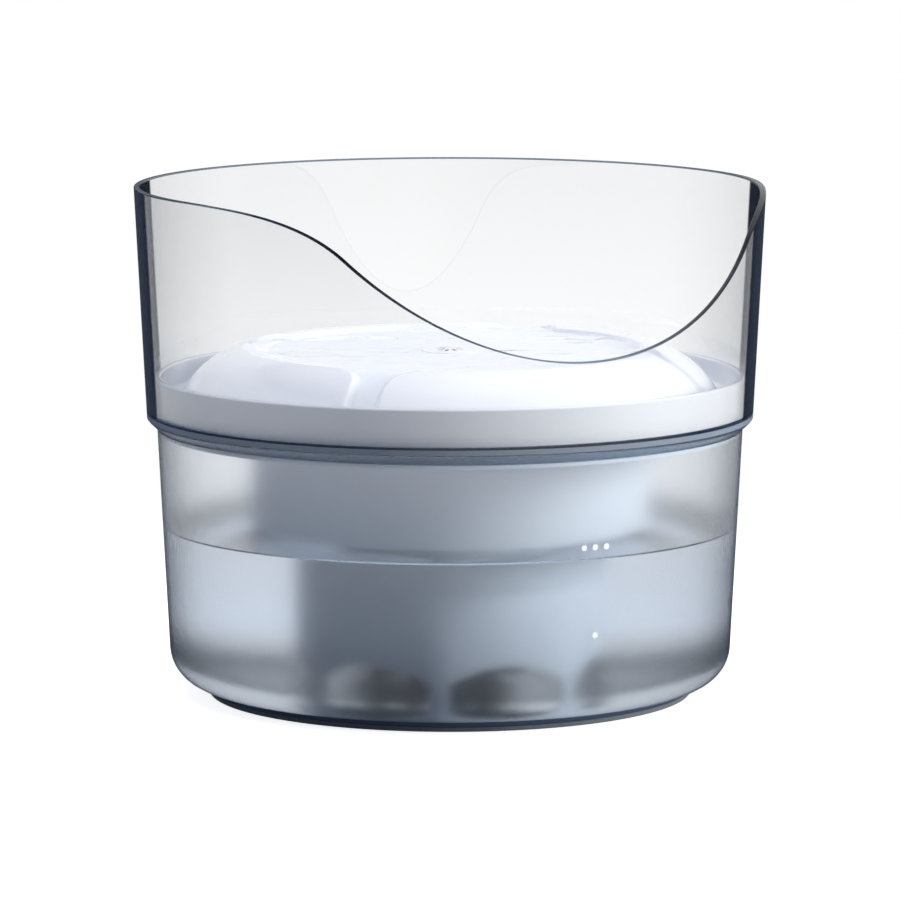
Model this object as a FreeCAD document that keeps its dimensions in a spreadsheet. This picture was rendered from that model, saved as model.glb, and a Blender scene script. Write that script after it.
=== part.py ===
"""Round pet water fountain with a wave-cut splash guard.

Millimetres, +Z up. The origin is on the table under the fountain's axis. The low point of the
splash guard faces -Y and the pump's cord leaves towards +Y.
"""
import FreeCAD, Part

import math
import os
from types import SimpleNamespace

import Sketcher

SIZES = {
    # Clearances shared by several pieces
    "loose_gap": 0.3,
    "snug_gap": 0.1,
    "running_gap": 0.05,
    "cord_slot_width": 5,
    "cord_slot_depth": 4.8,
    # Rings under the tank
    "foot_ring_height": 2.5,
    "foot_ring_width": 11,
    "foot_ring_inset": 0.6,
    "foot_ring_bevel": 0.6,
    "base_ring_radius": 129.3,
    "base_ring_height": 2.8,
    "base_ring_width": 18,
    "base_ring_bevel": 0.5,
    # Tank
    "tank_wall": 3,
    "tank_draft": 2.95,
    "tank_height": 142.2,
    "tank_top_radius": 155.6,
    "tank_corner_radius": 20,
    "flare_width": 5.4,
    "flare_height": 5,
    "rim_land": 3.6,
    "locating_rib_width": 2,
    "locating_rib_height": 2.5,
    # Splash guard
    "guard_wall": 3.4,
    "guard_draft": 2.93,
    "guard_height": 123.2,
    "ledge_thickness": 3.7,
    "collar_depth": 5,
    "collar_wall": 2.5,
    "wave_low_height": 46.7,
    "wave_dip_radius": 152,
    "wave_crest_radius": 70,
    # Drinking dish
    "dish_wall": 3,
    "dish_gap": 1.3,
    "dish_band_height": 20,
    "rim_bevel": 1.2,
    "moat_width": 10,
    "moat_floor_height": 6.3,
    "moat_bevel": 2.4,
    "dome_foot_height": 8.8,
    "dome_arc": 50,
    "dome_centre_drop": 15.15,
    "dome_shoulder": 10.2,
    "crest_width": 6.6,
    "crest_step": 0.6,
    "basin_slope": 5.2,
    "basin_depth": 5.5,
    "outlet_radius": 9,
    "hub_wall": 3.2,
    "hub_length": 12.5,
    "drain_radius": 1.8,
    "drain_count": 12,
    "drain_inset": 1.3,
    # Spill channels
    "spill_count": 4,
    "spill_turn": 45,
    "spill_mouth_width": 40,
    "spill_throat_width": 15,
    "spill_tail_width": 11,
    "spill_depth": 3.2,
    "spill_side_height": 7,
    "spill_side_slope": 5.2,
    "spill_wall": 2.6,
    # Filter basket and its cartridge
    "basket_radius": 106,
    "basket_wall": 2.5,
    "flange_gap": 1.6,
    "flange_headroom": 0.5,
    "funnel_rise": 6.5,
    "sleeve_height": 30,
    "sleeve_wall": 2.5,
    "sleeve_gap": 1.2,
    "skirt_depth": 5,
    "skirt_wall": 2.5,
    "basket_slot_count": 16,
    "basket_slot_width": 4,
    "basket_slot_margin": 4,
    "cartridge_gap": 0.9,
    "cartridge_wall": 1.6,
    "cartridge_height": 16,
    "cartridge_slot_count": 16,
    "cartridge_slot_width": 9,
    "carbon_depth": 9,
    "grip_height": 9,
    "grip_width": 16,
    # Column that covers the pump
    "column_radius": 61.5,
    "column_wall": 2.5,
    "column_seam_height": 56.5,
    "column_leg_height": 22.7,
    "column_leg_width": 8,
    "column_leg_count": 6,
    "cap_height": 26.2,
    "cap_plate": 3,
    "cap_spigot_height": 4,
    "cap_bore_radius": 10,
    # Pump housing and volute, measured from the rotor's axis
    "cup_height": 8,
    "pump_drop": 19,
    "pump_rise": 27,
    "pump_half_width": 23,
    "pump_round": 5,
    "pump_wall": 2.5,
    "pump_face": 8,
    "volute_front": 9.5,
    "volute_radius": 15.5,
    "housing_length": 44,
    "well_radius": 8.5,
    "well_wall": 1.5,
    "well_depth": 28.4,
    "well_end_wall": 1.5,
    "bush_radius": 5,
    "bush_length": 3.6,
    "spigot_radius": 6.5,
    "spigot_bore": 5,
    "spigot_length": 12,
    "eye_radius": 7.5,
    "spider_radius": 4.2,
    "spider_rib": 2,
    "spider_count": 3,
    "front_bush_radius": 3,
    "front_bush_length": 2.2,
    "seal_width": 1.6,
    "seal_depth": 1.4,
    "seal_gap": 0.7,
    # Rotor
    "shaft_radius": 1.25,
    "magnet_radius": 7.9,
    "impeller_radius": 13.5,
    "impeller_gap": 1.2,
    "blade_count": 6,
    "blade_width": 1.5,
    "blade_depth": 7.5,
    "impeller_plate": 1.5,
    "impeller_hub_radius": 5,
    # Stator, winding and potting
    "potting_inset": 1,
    "core_front": 14,
    "core_depth": 14,
    "core_half_width": 17.4,
    "core_drop": 8,
    "yoke_low": 15,
    "yoke_high": 20.5,
    "pole_gap": 0.4,
    "bobbin_wall": 1.1,
    "bobbin_half_length": 9,
    "bobbin_flange": 1.2,
    "winding_depth": 1.6,
    "gland_flange_radius": 6,
    "gland_flange": 2.6,
    "gland_radius": 4,
    "gland_length": 6,
    "gland_bore": 1.7,
    "gland_rise": 16,
    # Intake
    "grille_depth": 16,
    "grille_half_width": 21,
    "grille_drop": 17,
    "grille_rise": 23,
    "grille_wall": 2,
    "grille_slot_width": 3,
    "grille_slot_height": 22,
    "grille_slot_pitch": 5,
    "grille_slot_count": 7,
    "foam_gap": 0.3,
    "rail_half_length": 18,
    "rail_height": 2,
    "rail_lip": 1.4,
    "rail_lip_depth": 0.8,
    "slider_half_width": 10,
    "slider_half_height": 12,
    "slider_thickness": 1.8,
    "knob_radius": 3.5,
    "knob_height": 2.4,
    # Suction cups
    "cup_radius": 11.5,
    "cup_neck_radius": 4,
    "cup_lip": 1.2,
    "cup_hollow_height": 2.4,
    "cup_stud_radius": 3,
    "cup_stud_height": 1.8,
    "cup_half_track": 16,
    "rear_cup_distance": 30,
    # Riser, seal and outlet
    "riser_radius": 7.5,
    "riser_wall": 1.8,
    "riser_socket_wall": 2.4,
    "riser_top_gap": 3.6,
    "seal_length": 6,
    "seal_lip": 0.3,
    "outlet_cap_radius": 15,
    "outlet_cap_thickness": 1.6,
    "outlet_spigot_length": 4,
    "outlet_spigot_wall": 1.6,
    "outlet_slot_count": 8,
    "outlet_slot_width": 2,
    "outlet_slot_length": 4.5,
}


class Size:
    """A number together with the expression that keeps it in the document."""

    def __init__(self, value, text):
        self.value = value
        self.text = text

    def __add__(self, other):
        other = as_size(other)
        return Size(self.value + other.value, f"({self.text} + {other.text})")

    def __sub__(self, other):
        other = as_size(other)
        return Size(self.value - other.value, f"({self.text} - {other.text})")

    def __mul__(self, other):
        other = as_size(other)
        return Size(self.value * other.value, f"({self.text} * {other.text})")

    def __truediv__(self, other):
        other = as_size(other)
        return Size(self.value / other.value, f"({self.text} / {other.text})")

    def __neg__(self):
        return Size(-self.value, f"(-1 * {self.text})")


def as_size(number):
    """Give a plain number the same form as a named size."""
    return number if isinstance(number, Size) else Size(float(number), repr(float(number)))


def tangent(angle):
    """Tangent of an angle in degrees."""
    return Size(math.tan(math.radians(angle.value)), f"tan({angle.text})")


def sine(angle):
    """Sine of an angle in degrees."""
    return Size(math.sin(math.radians(angle.value)), f"sin({angle.text})")


def cosine(angle):
    """Cosine of an angle in degrees."""
    return Size(math.cos(math.radians(angle.value)), f"cos({angle.text})")


def root(area):
    """Square root of a size."""
    return Size(math.sqrt(area.value), f"sqrt({area.text})")


def arc_height(radius, across):
    """Height of a circle of this radius above its centre, this far across from it."""
    return root(radius * radius - across * across)


ZERO = as_size(0)
HALF_TURN = as_size(180)

doc = FreeCAD.newDocument("PetWaterFountain")
sheet = doc.addObject("Spreadsheet::Sheet", "Sizes")
for row, (word, amount) in enumerate(SIZES.items(), 1):
    sheet.set(f"A{row}", word)
    sheet.set(f"B{row}", str(amount))
    sheet.setAlias(f"B{row}", word)
doc.recompute()
s = SimpleNamespace(**{word: Size(float(amount), f"Sizes.{word}") for word, amount in SIZES.items()})

pieces = []


def new_piece(label, height=ZERO, turn=0):
    """Start a sub-part whose own zero height is this far above the table."""
    body = doc.addObject("PartDesign::Body", label)
    body.Label = label
    body.Placement = FreeCAD.Placement(
        FreeCAD.Vector(0, 0, height.value), FreeCAD.Rotation(FreeCAD.Vector(0, 0, 1), turn)
    )
    body.setExpression("Placement.Base.z", height.text)
    pieces.append(body)
    return body


def place_on(body, name, role, offset):
    """Open a sketch on one of the body's own planes, moved along its normal."""
    sketch = body.newObject("Sketcher::SketchObject", name)
    plane = next(item for item in body.Origin.OriginFeatures if item.Role == role)
    sketch.AttachmentSupport = [(plane, "")]
    sketch.MapMode = "FlatFace"
    sketch.setExpression("AttachmentOffset.Base.z", offset.text)
    return sketch


def fix_point(sketch, edge, end, across, up):
    """Tie one end of an edge to its two sizes."""
    for kind, axis, amount in (("DistanceX", -2, across), ("DistanceY", -1, up)):
        if amount.value == 0:
            sketch.addConstraint(Sketcher.Constraint("PointOnObject", edge, end, axis))
            continue
        rule = sketch.addConstraint(Sketcher.Constraint(kind, -1, 1, edge, end, amount.value))
        sketch.setExpression(f"Constraints[{rule}]", amount.text)


def draw_arc(sketch, start, end, radius):
    """Draw an arc that bulges left of the way from start to end, or right if negative."""
    chord = end - start
    reach = math.sqrt(radius.value**2 - (chord.Length / 2) ** 2)
    side = FreeCAD.Vector(chord.y, -chord.x, 0).normalize() * (reach if radius.value > 0 else -reach)
    centre = start + chord * 0.5 + side
    first, last = (end, start) if radius.value > 0 else (start, end)
    low = math.atan2(first.y - centre.y, first.x - centre.x)
    high = math.atan2(last.y - centre.y, last.x - centre.x)
    if high < low:
        high += 2 * math.pi
    circle = Part.Circle(centre, FreeCAD.Vector(0, 0, 1), abs(radius.value))
    edge = sketch.addGeometry(Part.ArcOfCircle(circle, low, high))
    amount = radius if radius.value > 0 else -radius
    rule = sketch.addConstraint(Sketcher.Constraint("Radius", edge, amount.value))
    sketch.setExpression(f"Constraints[{rule}]", amount.text)
    return (edge, 2, 1) if radius.value > 0 else (edge, 1, 2)


def add_outline(sketch, corners):
    """Add a closed outline. A corner with a third size leaves along an arc of that radius."""
    edges = []
    for index, corner in enumerate(corners):
        following = corners[(index + 1) % len(corners)]
        start = FreeCAD.Vector(corner[0].value, corner[1].value, 0)
        end = FreeCAD.Vector(following[0].value, following[1].value, 0)
        if len(corner) == 3:
            edges.append(draw_arc(sketch, start, end, corner[2]))
        else:
            edges.append((sketch.addGeometry(Part.LineSegment(start, end)), 1, 2))
    for index, (edge, start, end) in enumerate(edges):
        following, begin, _ = edges[(index + 1) % len(edges)]
        sketch.addConstraint(Sketcher.Constraint("Coincident", edge, end, following, begin))
        fix_point(sketch, edge, start, corners[index][0], corners[index][1])


def outline(body, name, role, corners, offset=ZERO):
    """Sketch one closed outline on a plane of the body."""
    sketch = place_on(body, name, role, offset)
    add_outline(sketch, corners)
    return sketch


def rectangle(body, name, role, low, high, offset=ZERO):
    """Sketch a rectangle between two opposite corners."""
    corners = [low, (high[0], low[1]), high, (low[0], high[1])]
    return outline(body, name, role, corners, offset)


def disc(body, name, role, radius, centre=(ZERO, ZERO), offset=ZERO):
    """Sketch a circle."""
    sketch = place_on(body, name, role, offset)
    middle = FreeCAD.Vector(centre[0].value, centre[1].value, 0)
    edge = sketch.addGeometry(Part.Circle(middle, FreeCAD.Vector(0, 0, 1), radius.value))
    rule = sketch.addConstraint(Sketcher.Constraint("Radius", edge, radius.value))
    sketch.setExpression(f"Constraints[{rule}]", radius.text)
    fix_point(sketch, edge, 3, *centre)
    return sketch


def revolve(body, name, sketch, axis="V_Axis"):
    """Turn a profile through a full circle about one of its sketch's axes."""
    feature = body.newObject("PartDesign::Revolution", name)
    feature.Profile = sketch
    feature.ReferenceAxis = (sketch, [axis])
    feature.Angle = 360
    return feature


def pad(body, name, sketch, length, reverse=False, symmetric=False):
    """Raise a sketch along its normal, or against it."""
    feature = body.newObject("PartDesign::Pad", name)
    feature.Profile = sketch
    feature.setExpression("Length", length.text)
    feature.Reversed = reverse
    if symmetric:
        feature.SideType = "Symmetric"
    return feature


def pocket(body, name, sketch, length, reverse=False, symmetric=False):
    """Sink a sketch against its normal, or along it."""
    feature = body.newObject("PartDesign::Pocket", name)
    feature.Profile = sketch
    feature.setExpression("Length", length.text)
    feature.Reversed = reverse
    if symmetric:
        feature.SideType = "Symmetric"
    return feature


def repeat_round(body, name, feature, count, role="Z_Axis"):
    """Repeat a feature evenly about one of the body's axes."""
    pattern = body.newObject("PartDesign::PolarPattern", name)
    pattern.Originals = [feature]
    axis = next(item for item in body.Origin.OriginFeatures if item.Role == role)
    pattern.Axis = (axis, [""])
    pattern.Angle = 360
    pattern.setExpression("Occurrences", count.text)
    body.Tip = pattern
    return pattern


def loft(body, name, kind, sections):
    """Join a row of sketches with flat-sided walls."""
    feature = body.newObject(f"PartDesign::{kind}Loft", name)
    feature.Profile = sections[0]
    feature.Sections = sections[1:]
    feature.Ruled = True
    return feature


def is_ring(radius, height):
    """Make a test for circular edges of this radius at this height in their body."""

    def test(edge):
        curve = edge.Curve
        return (
            isinstance(curve, Part.Circle)
            and abs(curve.Radius - radius.value) < 0.01
            and abs(curve.Center.z - height.value) < 0.01
        )

    return test


def dress(body, name, kind, base, amount, chosen):
    """Round or bevel the edges of a feature that pass one of the tests."""
    doc.recompute()
    edges = [
        f"Edge{number}"
        for number, edge in enumerate(base.Shape.Edges, 1)
        if any(test(edge) for test in chosen)
    ]
    feature = body.newObject(f"PartDesign::{kind}", name)
    feature.Base = (base, edges)
    feature.setExpression("Radius" if kind == "Fillet" else "Size", amount.text)
    return feature


# Heights above the table of the seats that pieces share
tank_seat = s.foot_ring_height + s.base_ring_height
floor_height = tank_seat + s.tank_wall
guard_seat = tank_seat + s.tank_height
dish_seat = guard_seat + s.ledge_thickness
cap_seat = floor_height + s.column_seam_height
basket_seat = cap_seat + s.cap_height
flange_top = guard_seat - s.collar_depth - s.flange_headroom - basket_seat
neck_height = flange_top - s.basket_wall - s.funnel_rise
cartridge_seat = basket_seat + s.basket_wall
pump_seat = floor_height + s.cup_height + s.pump_drop

# Radii that pieces share
tank_slope = tangent(s.tank_draft)
shoulder_height = s.tank_height - s.flare_height
tank_foot_radius = s.tank_top_radius - shoulder_height * tank_slope
rim_radius = s.tank_top_radius + s.flare_width
tank_mouth_radius = s.tank_top_radius - s.tank_wall
column_bore = s.column_radius - s.column_wall
guard_slope = tangent(s.guard_draft)
dish_radius = rim_radius + s.ledge_thickness * guard_slope - s.guard_wall - s.dish_gap
bore_radius = s.shaft_radius + s.running_gap


def cord_slot(body, name, low, high, near, far):
    """Cut the slot through which the cord passes at the back."""
    half = s.cord_slot_width / 2
    sketch = rectangle(body, name + "_outline", "XZ_Plane", (-half, low), (half, high), -near)
    return pocket(body, name, sketch, far - near)


def make_anti_slip_ring():
    outer = s.base_ring_radius - s.foot_ring_inset
    inner = outer - s.foot_ring_width
    body = new_piece("anti_slip_ring")
    corners = [
        (inner, ZERO),
        (outer - s.foot_ring_bevel, ZERO),
        (outer, s.foot_ring_bevel),
        (outer, s.foot_ring_height),
        (inner, s.foot_ring_height),
    ]
    revolve(body, "ring", outline(body, "ring_profile", "XZ_Plane", corners))


def make_base_ring():
    outer = s.base_ring_radius
    inner = outer - s.base_ring_width
    body = new_piece("base_ring", s.foot_ring_height)
    corners = [
        (inner, ZERO),
        (outer - s.base_ring_bevel, ZERO),
        (outer, s.base_ring_bevel),
        (outer, s.base_ring_height),
        (inner, s.base_ring_height),
    ]
    revolve(body, "ring", outline(body, "ring_profile", "XZ_Plane", corners))


def make_reservoir_tank():
    """Tapered tank with a rounded foot, a flared rim and a rib that centres the column."""
    body = new_piece("reservoir_tank", tank_seat)
    rib_inner = s.column_radius + s.loose_gap
    rib_outer = rib_inner + s.locating_rib_width
    rib_top = s.tank_wall + s.locating_rib_height
    inner_foot = tank_foot_radius + s.tank_wall * tank_slope - s.tank_wall
    corners = [
        (ZERO, ZERO),
        (tank_foot_radius, ZERO),
        (s.tank_top_radius, shoulder_height),
        (rim_radius, s.tank_height),
        (rim_radius - s.rim_land, s.tank_height),
        (tank_mouth_radius, shoulder_height),
        (inner_foot, s.tank_wall),
        (rib_outer, s.tank_wall),
        (rib_outer, rib_top),
        (rib_inner, rib_top),
        (rib_inner, s.tank_wall),
        (ZERO, s.tank_wall),
    ]
    shell = revolve(body, "shell", outline(body, "shell_profile", "XZ_Plane", corners))
    foot = [is_ring(tank_foot_radius, ZERO)]
    outside = dress(body, "outer_foot", "Fillet", shell, s.tank_corner_radius, foot)
    inside = [is_ring(inner_foot, s.tank_wall)]
    dress(body, "inner_foot", "Fillet", outside, s.tank_corner_radius - s.tank_wall, inside)
    bottom = s.tank_height - s.cord_slot_depth
    near = tank_mouth_radius - s.tank_wall
    cord_slot(body, "cord_slot", bottom, s.tank_height + s.tank_wall, near, rim_radius + s.tank_wall)


def wave_outline(body):
    """Outline of the dip at the front of the guard: a wide low arc between two crest arcs."""
    rise = s.guard_height - s.wave_low_height
    both = s.wave_dip_radius + s.wave_crest_radius
    reach = root(rise * both * 2 - rise * rise)
    share = s.wave_dip_radius / both
    join = reach * share
    join_height = s.wave_low_height + rise * share
    above = s.guard_height + s.guard_wall
    corners = [
        (-reach, above),
        (-reach, s.guard_height, s.wave_crest_radius),
        (-join, join_height, -s.wave_dip_radius),
        (join, join_height, s.wave_crest_radius),
        (reach, s.guard_height),
        (reach, above),
    ]
    return outline(body, "wave_outline", "XZ_Plane", corners)


def make_splash_guard():
    """Clear shell that widens upwards, with a ledge for the dish and a collar in the tank."""
    body = new_piece("splash_guard", guard_seat)
    top = rim_radius + s.guard_height * guard_slope
    collar_outer = tank_mouth_radius - s.loose_gap
    inner = collar_outer - s.collar_wall
    corners = [
        (inner, -s.collar_depth),
        (collar_outer, -s.collar_depth),
        (collar_outer, ZERO),
        (rim_radius, ZERO),
        (top, s.guard_height),
        (top - s.guard_wall, s.guard_height),
        (rim_radius + s.ledge_thickness * guard_slope - s.guard_wall, s.ledge_thickness),
        (inner, s.ledge_thickness),
    ]
    revolve(body, "shell", outline(body, "shell_profile", "XZ_Plane", corners))
    pocket(body, "wave_cut", wave_outline(body), top + s.guard_wall, reverse=True)
    near = inner - s.collar_wall
    cord_slot(body, "cord_slot", -s.collar_depth - s.collar_wall, ZERO, near, collar_outer + s.loose_gap)


# Profile of the dish, worked inwards from its rim
dish_inner = dish_radius - s.dish_wall
dome_foot = dish_inner - s.moat_width
foot_drop = s.dome_foot_height + s.dome_centre_drop
dome_centre = dome_foot - arc_height(s.dome_arc, foot_drop)
dome_top = dome_centre + s.dome_shoulder
dome_top_height = arc_height(s.dome_arc, s.dome_shoulder) - s.dome_centre_drop
basin_height = dome_top_height - s.basin_depth
basin_under = basin_height - s.dish_wall
moat_corner = dome_foot + s.dome_foot_height - s.moat_floor_height
moat_under = s.moat_floor_height - s.dish_wall
under_arc = s.dome_arc - s.dish_wall
hub_bore = s.outlet_radius + s.hub_wall / 2
hub_foot = basin_under - s.hub_length


def spill_section(body, name, distance, width, height, grow=None):
    """Cross-section of a spill channel, or of the wall that backs it from below."""
    half = width / 2
    if grow is None:
        top, low, lean = height + s.spill_side_height, height, s.spill_side_slope
    else:
        half = half + grow
        top, low, lean = height + grow / 2, height - grow, ZERO
    corners = [(-half, low), (half, low), (half + lean, top), (-half - lean, top)]
    return outline(body, name, "XZ_Plane", corners, distance)


def spill_floor(across):
    """Height of a channel's floor, sunk below the dome, this far out from the dome's centre."""
    return arc_height(s.dome_arc - s.spill_depth, across) - s.dome_centre_drop


def make_drinking_dish():
    """Dish with a rim, a moat, a dome, a pool basin, four spill channels and moat drains."""
    body = new_piece("drinking_dish", dish_seat, turn=SIZES["spill_turn"])
    crest = dome_top - s.crest_width
    basin = crest - s.basin_slope
    step = s.dish_wall / 2
    under_foot = dome_centre + arc_height(under_arc, moat_under + s.dome_centre_drop)
    under_top = arc_height(under_arc, s.dome_shoulder) - s.dome_centre_drop
    band = (under_foot - dome_top) / 3
    knees = [under_foot - band / 2, dome_top + band * 1.2]
    hub_outer = hub_bore + s.hub_wall
    corners = [
        (s.outlet_radius, basin_height),
        (basin, basin_height),
        (crest, dome_top_height - s.crest_step),
        (dome_top, dome_top_height, s.dome_arc),
        (dome_foot, s.dome_foot_height),
        (moat_corner, s.moat_floor_height),
        (dish_inner, s.moat_floor_height),
        (dish_inner, s.dish_band_height),
        (dish_radius, s.dish_band_height),
        (dish_radius, ZERO),
        (dish_inner, ZERO),
        (dish_inner, moat_under),
        (under_foot, moat_under),
        *[(knee, arc_height(under_arc, knee - dome_centre) - s.dome_centre_drop) for knee in knees],
        (dome_top, under_top),
        (crest + step, under_top),
        (basin + step, basin_under),
        (hub_outer, basin_under),
        (hub_outer, hub_foot),
        (hub_bore, hub_foot),
        (hub_bore, basin_under),
        (s.outlet_radius, basin_under),
    ]
    shell = revolve(body, "shell", outline(body, "shell_profile", "XZ_Plane", corners))
    rims = [is_ring(dish_inner, s.dish_band_height), is_ring(dish_radius, s.dish_band_height)]
    rim = dress(body, "rim_bevel", "Chamfer", shell, s.rim_bevel, rims)
    corner = [is_ring(dish_inner, s.moat_floor_height)]
    dress(body, "moat_bevel", "Chamfer", rim, s.moat_bevel, corner)

    # Stations along a channel: basin side, lip, throat, half way down, foot of the dome, moat
    lip = dome_top - s.crest_width / 2
    throat = dome_centre + s.dome_arc * 0.35
    middle = dome_centre + s.dome_arc * 0.57
    tail = dome_centre + s.dome_arc * 0.78
    sill = spill_floor(s.dome_shoulder)
    backing = [
        spill_section(body, "backing_lip", crest, s.spill_mouth_width, sill, s.spill_wall),
        spill_section(body, "backing_throat", throat, s.spill_throat_width,
                      spill_floor(throat - dome_centre), s.spill_wall),
        spill_section(body, "backing_middle", middle, s.spill_tail_width,
                      spill_floor(middle - dome_centre), s.spill_wall),
        spill_section(body, "backing_tail", tail, s.spill_tail_width,
                      spill_floor(tail - dome_centre), s.spill_wall),
    ]
    added = loft(body, "spill_backing", "Additive", backing)
    repeat_round(body, "spill_backings", added, s.spill_count)
    stations = [
        (basin, s.spill_mouth_width * 1.2, sill),
        (lip, s.spill_mouth_width, sill),
        (throat, s.spill_throat_width, spill_floor(throat - dome_centre)),
        (middle, s.spill_tail_width, spill_floor(middle - dome_centre)),
        (tail, s.spill_tail_width, spill_floor(tail - dome_centre)),
        (moat_corner, s.spill_tail_width, s.moat_floor_height),
    ]
    sections = [
        spill_section(body, f"spill_section_{number}", *station)
        for number, station in enumerate(stations, 1)
    ]
    cut = loft(body, "spill_channel", "Subtractive", sections)
    repeat_round(body, "spill_channels", cut, s.spill_count)

    reach = moat_corner + s.drain_inset
    turn = HALF_TURN / s.drain_count
    place = (reach * sine(turn), -reach * cosine(turn))
    hole = disc(body, "drain_outline", "XY_Plane", s.drain_radius, place, s.dome_foot_height)
    drain = pocket(body, "drain", hole, s.dome_foot_height)
    repeat_round(body, "drains", drain, s.drain_count)


def make_outlet_grille():
    """Low cap over the outlet that lets the water out sideways and upwards without a jet."""
    body = new_piece("outlet_grille", dish_seat + basin_height)
    outer = s.outlet_radius - s.snug_gap
    inner = outer - s.outlet_spigot_wall
    corners = [
        (ZERO, ZERO),
        (inner, ZERO),
        (inner, -s.outlet_spigot_length),
        (outer, -s.outlet_spigot_length),
        (outer, ZERO),
        (s.outlet_cap_radius, ZERO),
        (s.outlet_cap_radius, s.outlet_cap_thickness / 2),
        (s.outlet_cap_radius - s.outlet_cap_thickness / 2, s.outlet_cap_thickness),
        (ZERO, s.outlet_cap_thickness),
    ]
    revolve(body, "cap", outline(body, "cap_profile", "XZ_Plane", corners))
    half = s.outlet_slot_width / 2
    start = (-half, inner - s.outlet_slot_length)
    slot = rectangle(body, "slot_outline", "XY_Plane", start, (half, inner), s.outlet_cap_thickness)
    cut = pocket(body, "slot", slot, s.outlet_cap_thickness)
    repeat_round(body, "slots", cut, s.outlet_slot_count)


def make_outlet_seal():
    """Rubber sleeve in the dish's hub that slips over the riser."""
    body = new_piece("outlet_seal", dish_seat + hub_foot)
    outer = hub_bore - s.running_gap
    inner = s.riser_radius + s.loose_gap
    corners = [
        (inner, s.seal_lip),
        (inner + s.seal_lip, ZERO),
        (outer, ZERO),
        (outer, s.seal_length),
        (inner, s.seal_length),
    ]
    revolve(body, "sleeve", outline(body, "sleeve_profile", "XZ_Plane", corners))


def make_filter_basket():
    """Wide basket on the column, with a funnel flange that catches the moat's drains."""
    body = new_piece("filter_basket", basket_seat)
    bore = s.cap_bore_radius + s.loose_gap
    sleeve = bore + s.sleeve_wall
    skirt_inner = s.column_radius + s.loose_gap
    skirt_outer = skirt_inner + s.skirt_wall
    inner = s.basket_radius - s.basket_wall
    rim = tank_mouth_radius - s.flange_gap
    corners = [
        (bore, ZERO),
        (skirt_inner, ZERO),
        (skirt_inner, -s.skirt_depth),
        (skirt_outer, -s.skirt_depth),
        (skirt_outer, ZERO),
        (s.basket_radius, ZERO),
        (s.basket_radius, neck_height),
        (rim, flange_top - s.basket_wall),
        (rim, flange_top),
        (inner, neck_height + s.basket_wall),
        (inner, s.basket_wall),
        (sleeve, s.basket_wall),
        (sleeve, s.sleeve_height),
        (bore, s.sleeve_height),
    ]
    revolve(body, "shell", outline(body, "shell_profile", "XZ_Plane", corners))
    half = s.basket_slot_width / 2
    start = skirt_outer + s.basket_slot_margin
    end = inner - s.basket_slot_margin
    slot = rectangle(body, "slot_outline", "XY_Plane", (-half, start), (half, end), s.basket_wall * 2)
    cut = pocket(body, "slot", slot, s.basket_wall * 3)
    repeat_round(body, "slots", cut, s.basket_slot_count)
    high = flange_top + s.basket_wall
    cord_slot(body, "cord_slot", neck_height, high, rim - s.cord_slot_depth, rim + s.basket_wall)


# Radii of the cartridge, which slips over the basket's sleeve
cartridge_outer = s.basket_radius - s.basket_wall - s.cartridge_gap
cartridge_inner = s.cap_bore_radius + s.loose_gap + s.sleeve_wall + s.sleeve_gap
media_outer = cartridge_outer - s.cartridge_wall - s.snug_gap
media_inner = cartridge_inner + s.cartridge_wall + s.snug_gap


def cut_wedges(body, height):
    """Cut a ring of tapering windows through a round plate that ends at this height."""
    half = s.cartridge_slot_width / 2
    start = media_inner + s.cartridge_slot_width
    end = media_outer - s.cartridge_slot_width
    wide = half * 3
    corners = [(-half / 2, start), (half / 2, start), (wide, end), (-wide, end)]
    window = outline(body, "window_outline", "XY_Plane", corners, height)
    cut = pocket(body, "window", window, s.cartridge_wall)
    repeat_round(body, "windows", cut, s.cartridge_slot_count)


def make_cartridge():
    """Round filter cartridge: an open-topped frame, carbon, a fleece pad and a lid."""
    frame = new_piece("cartridge_frame", cartridge_seat)
    corners = [
        (cartridge_inner, ZERO),
        (cartridge_outer, ZERO),
        (cartridge_outer, s.cartridge_height),
        (cartridge_outer - s.cartridge_wall, s.cartridge_height),
        (cartridge_outer - s.cartridge_wall, s.cartridge_wall),
        (cartridge_inner + s.cartridge_wall, s.cartridge_wall),
        (cartridge_inner + s.cartridge_wall, s.cartridge_height),
        (cartridge_inner, s.cartridge_height),
    ]
    revolve(frame, "tray", outline(frame, "tray_profile", "XZ_Plane", corners))
    cut_wedges(frame, s.cartridge_wall)

    carbon_seat = cartridge_seat + s.cartridge_wall
    carbon = new_piece("carbon_media", carbon_seat)
    ring = rectangle(carbon, "bed_profile", "XZ_Plane", (media_inner, ZERO), (media_outer, s.carbon_depth))
    revolve(carbon, "bed", ring)

    pad_depth = s.cartridge_height - s.cartridge_wall - s.carbon_depth
    fleece = new_piece("fleece_pad", carbon_seat + s.carbon_depth)
    ring = rectangle(fleece, "pad_profile", "XZ_Plane", (media_inner, ZERO), (media_outer, pad_depth))
    revolve(fleece, "pad", ring)

    lid = new_piece("cartridge_lid", cartridge_seat + s.cartridge_height)
    low, high = (cartridge_inner, ZERO), (cartridge_outer, s.cartridge_wall)
    revolve(lid, "plate", rectangle(lid, "plate_profile", "XZ_Plane", low, high))
    cut_wedges(lid, s.cartridge_wall)
    far = media_inner + s.grip_width
    low = (media_inner, s.cartridge_wall)
    high = (far, s.cartridge_wall + s.grip_height)
    grip = rectangle(lid, "grip_outline", "XZ_Plane", low, high)
    tab = pad(lid, "grip", grip, s.cartridge_wall, symmetric=True)
    repeat_round(lid, "grips", tab, Size(2, "2"))


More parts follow.
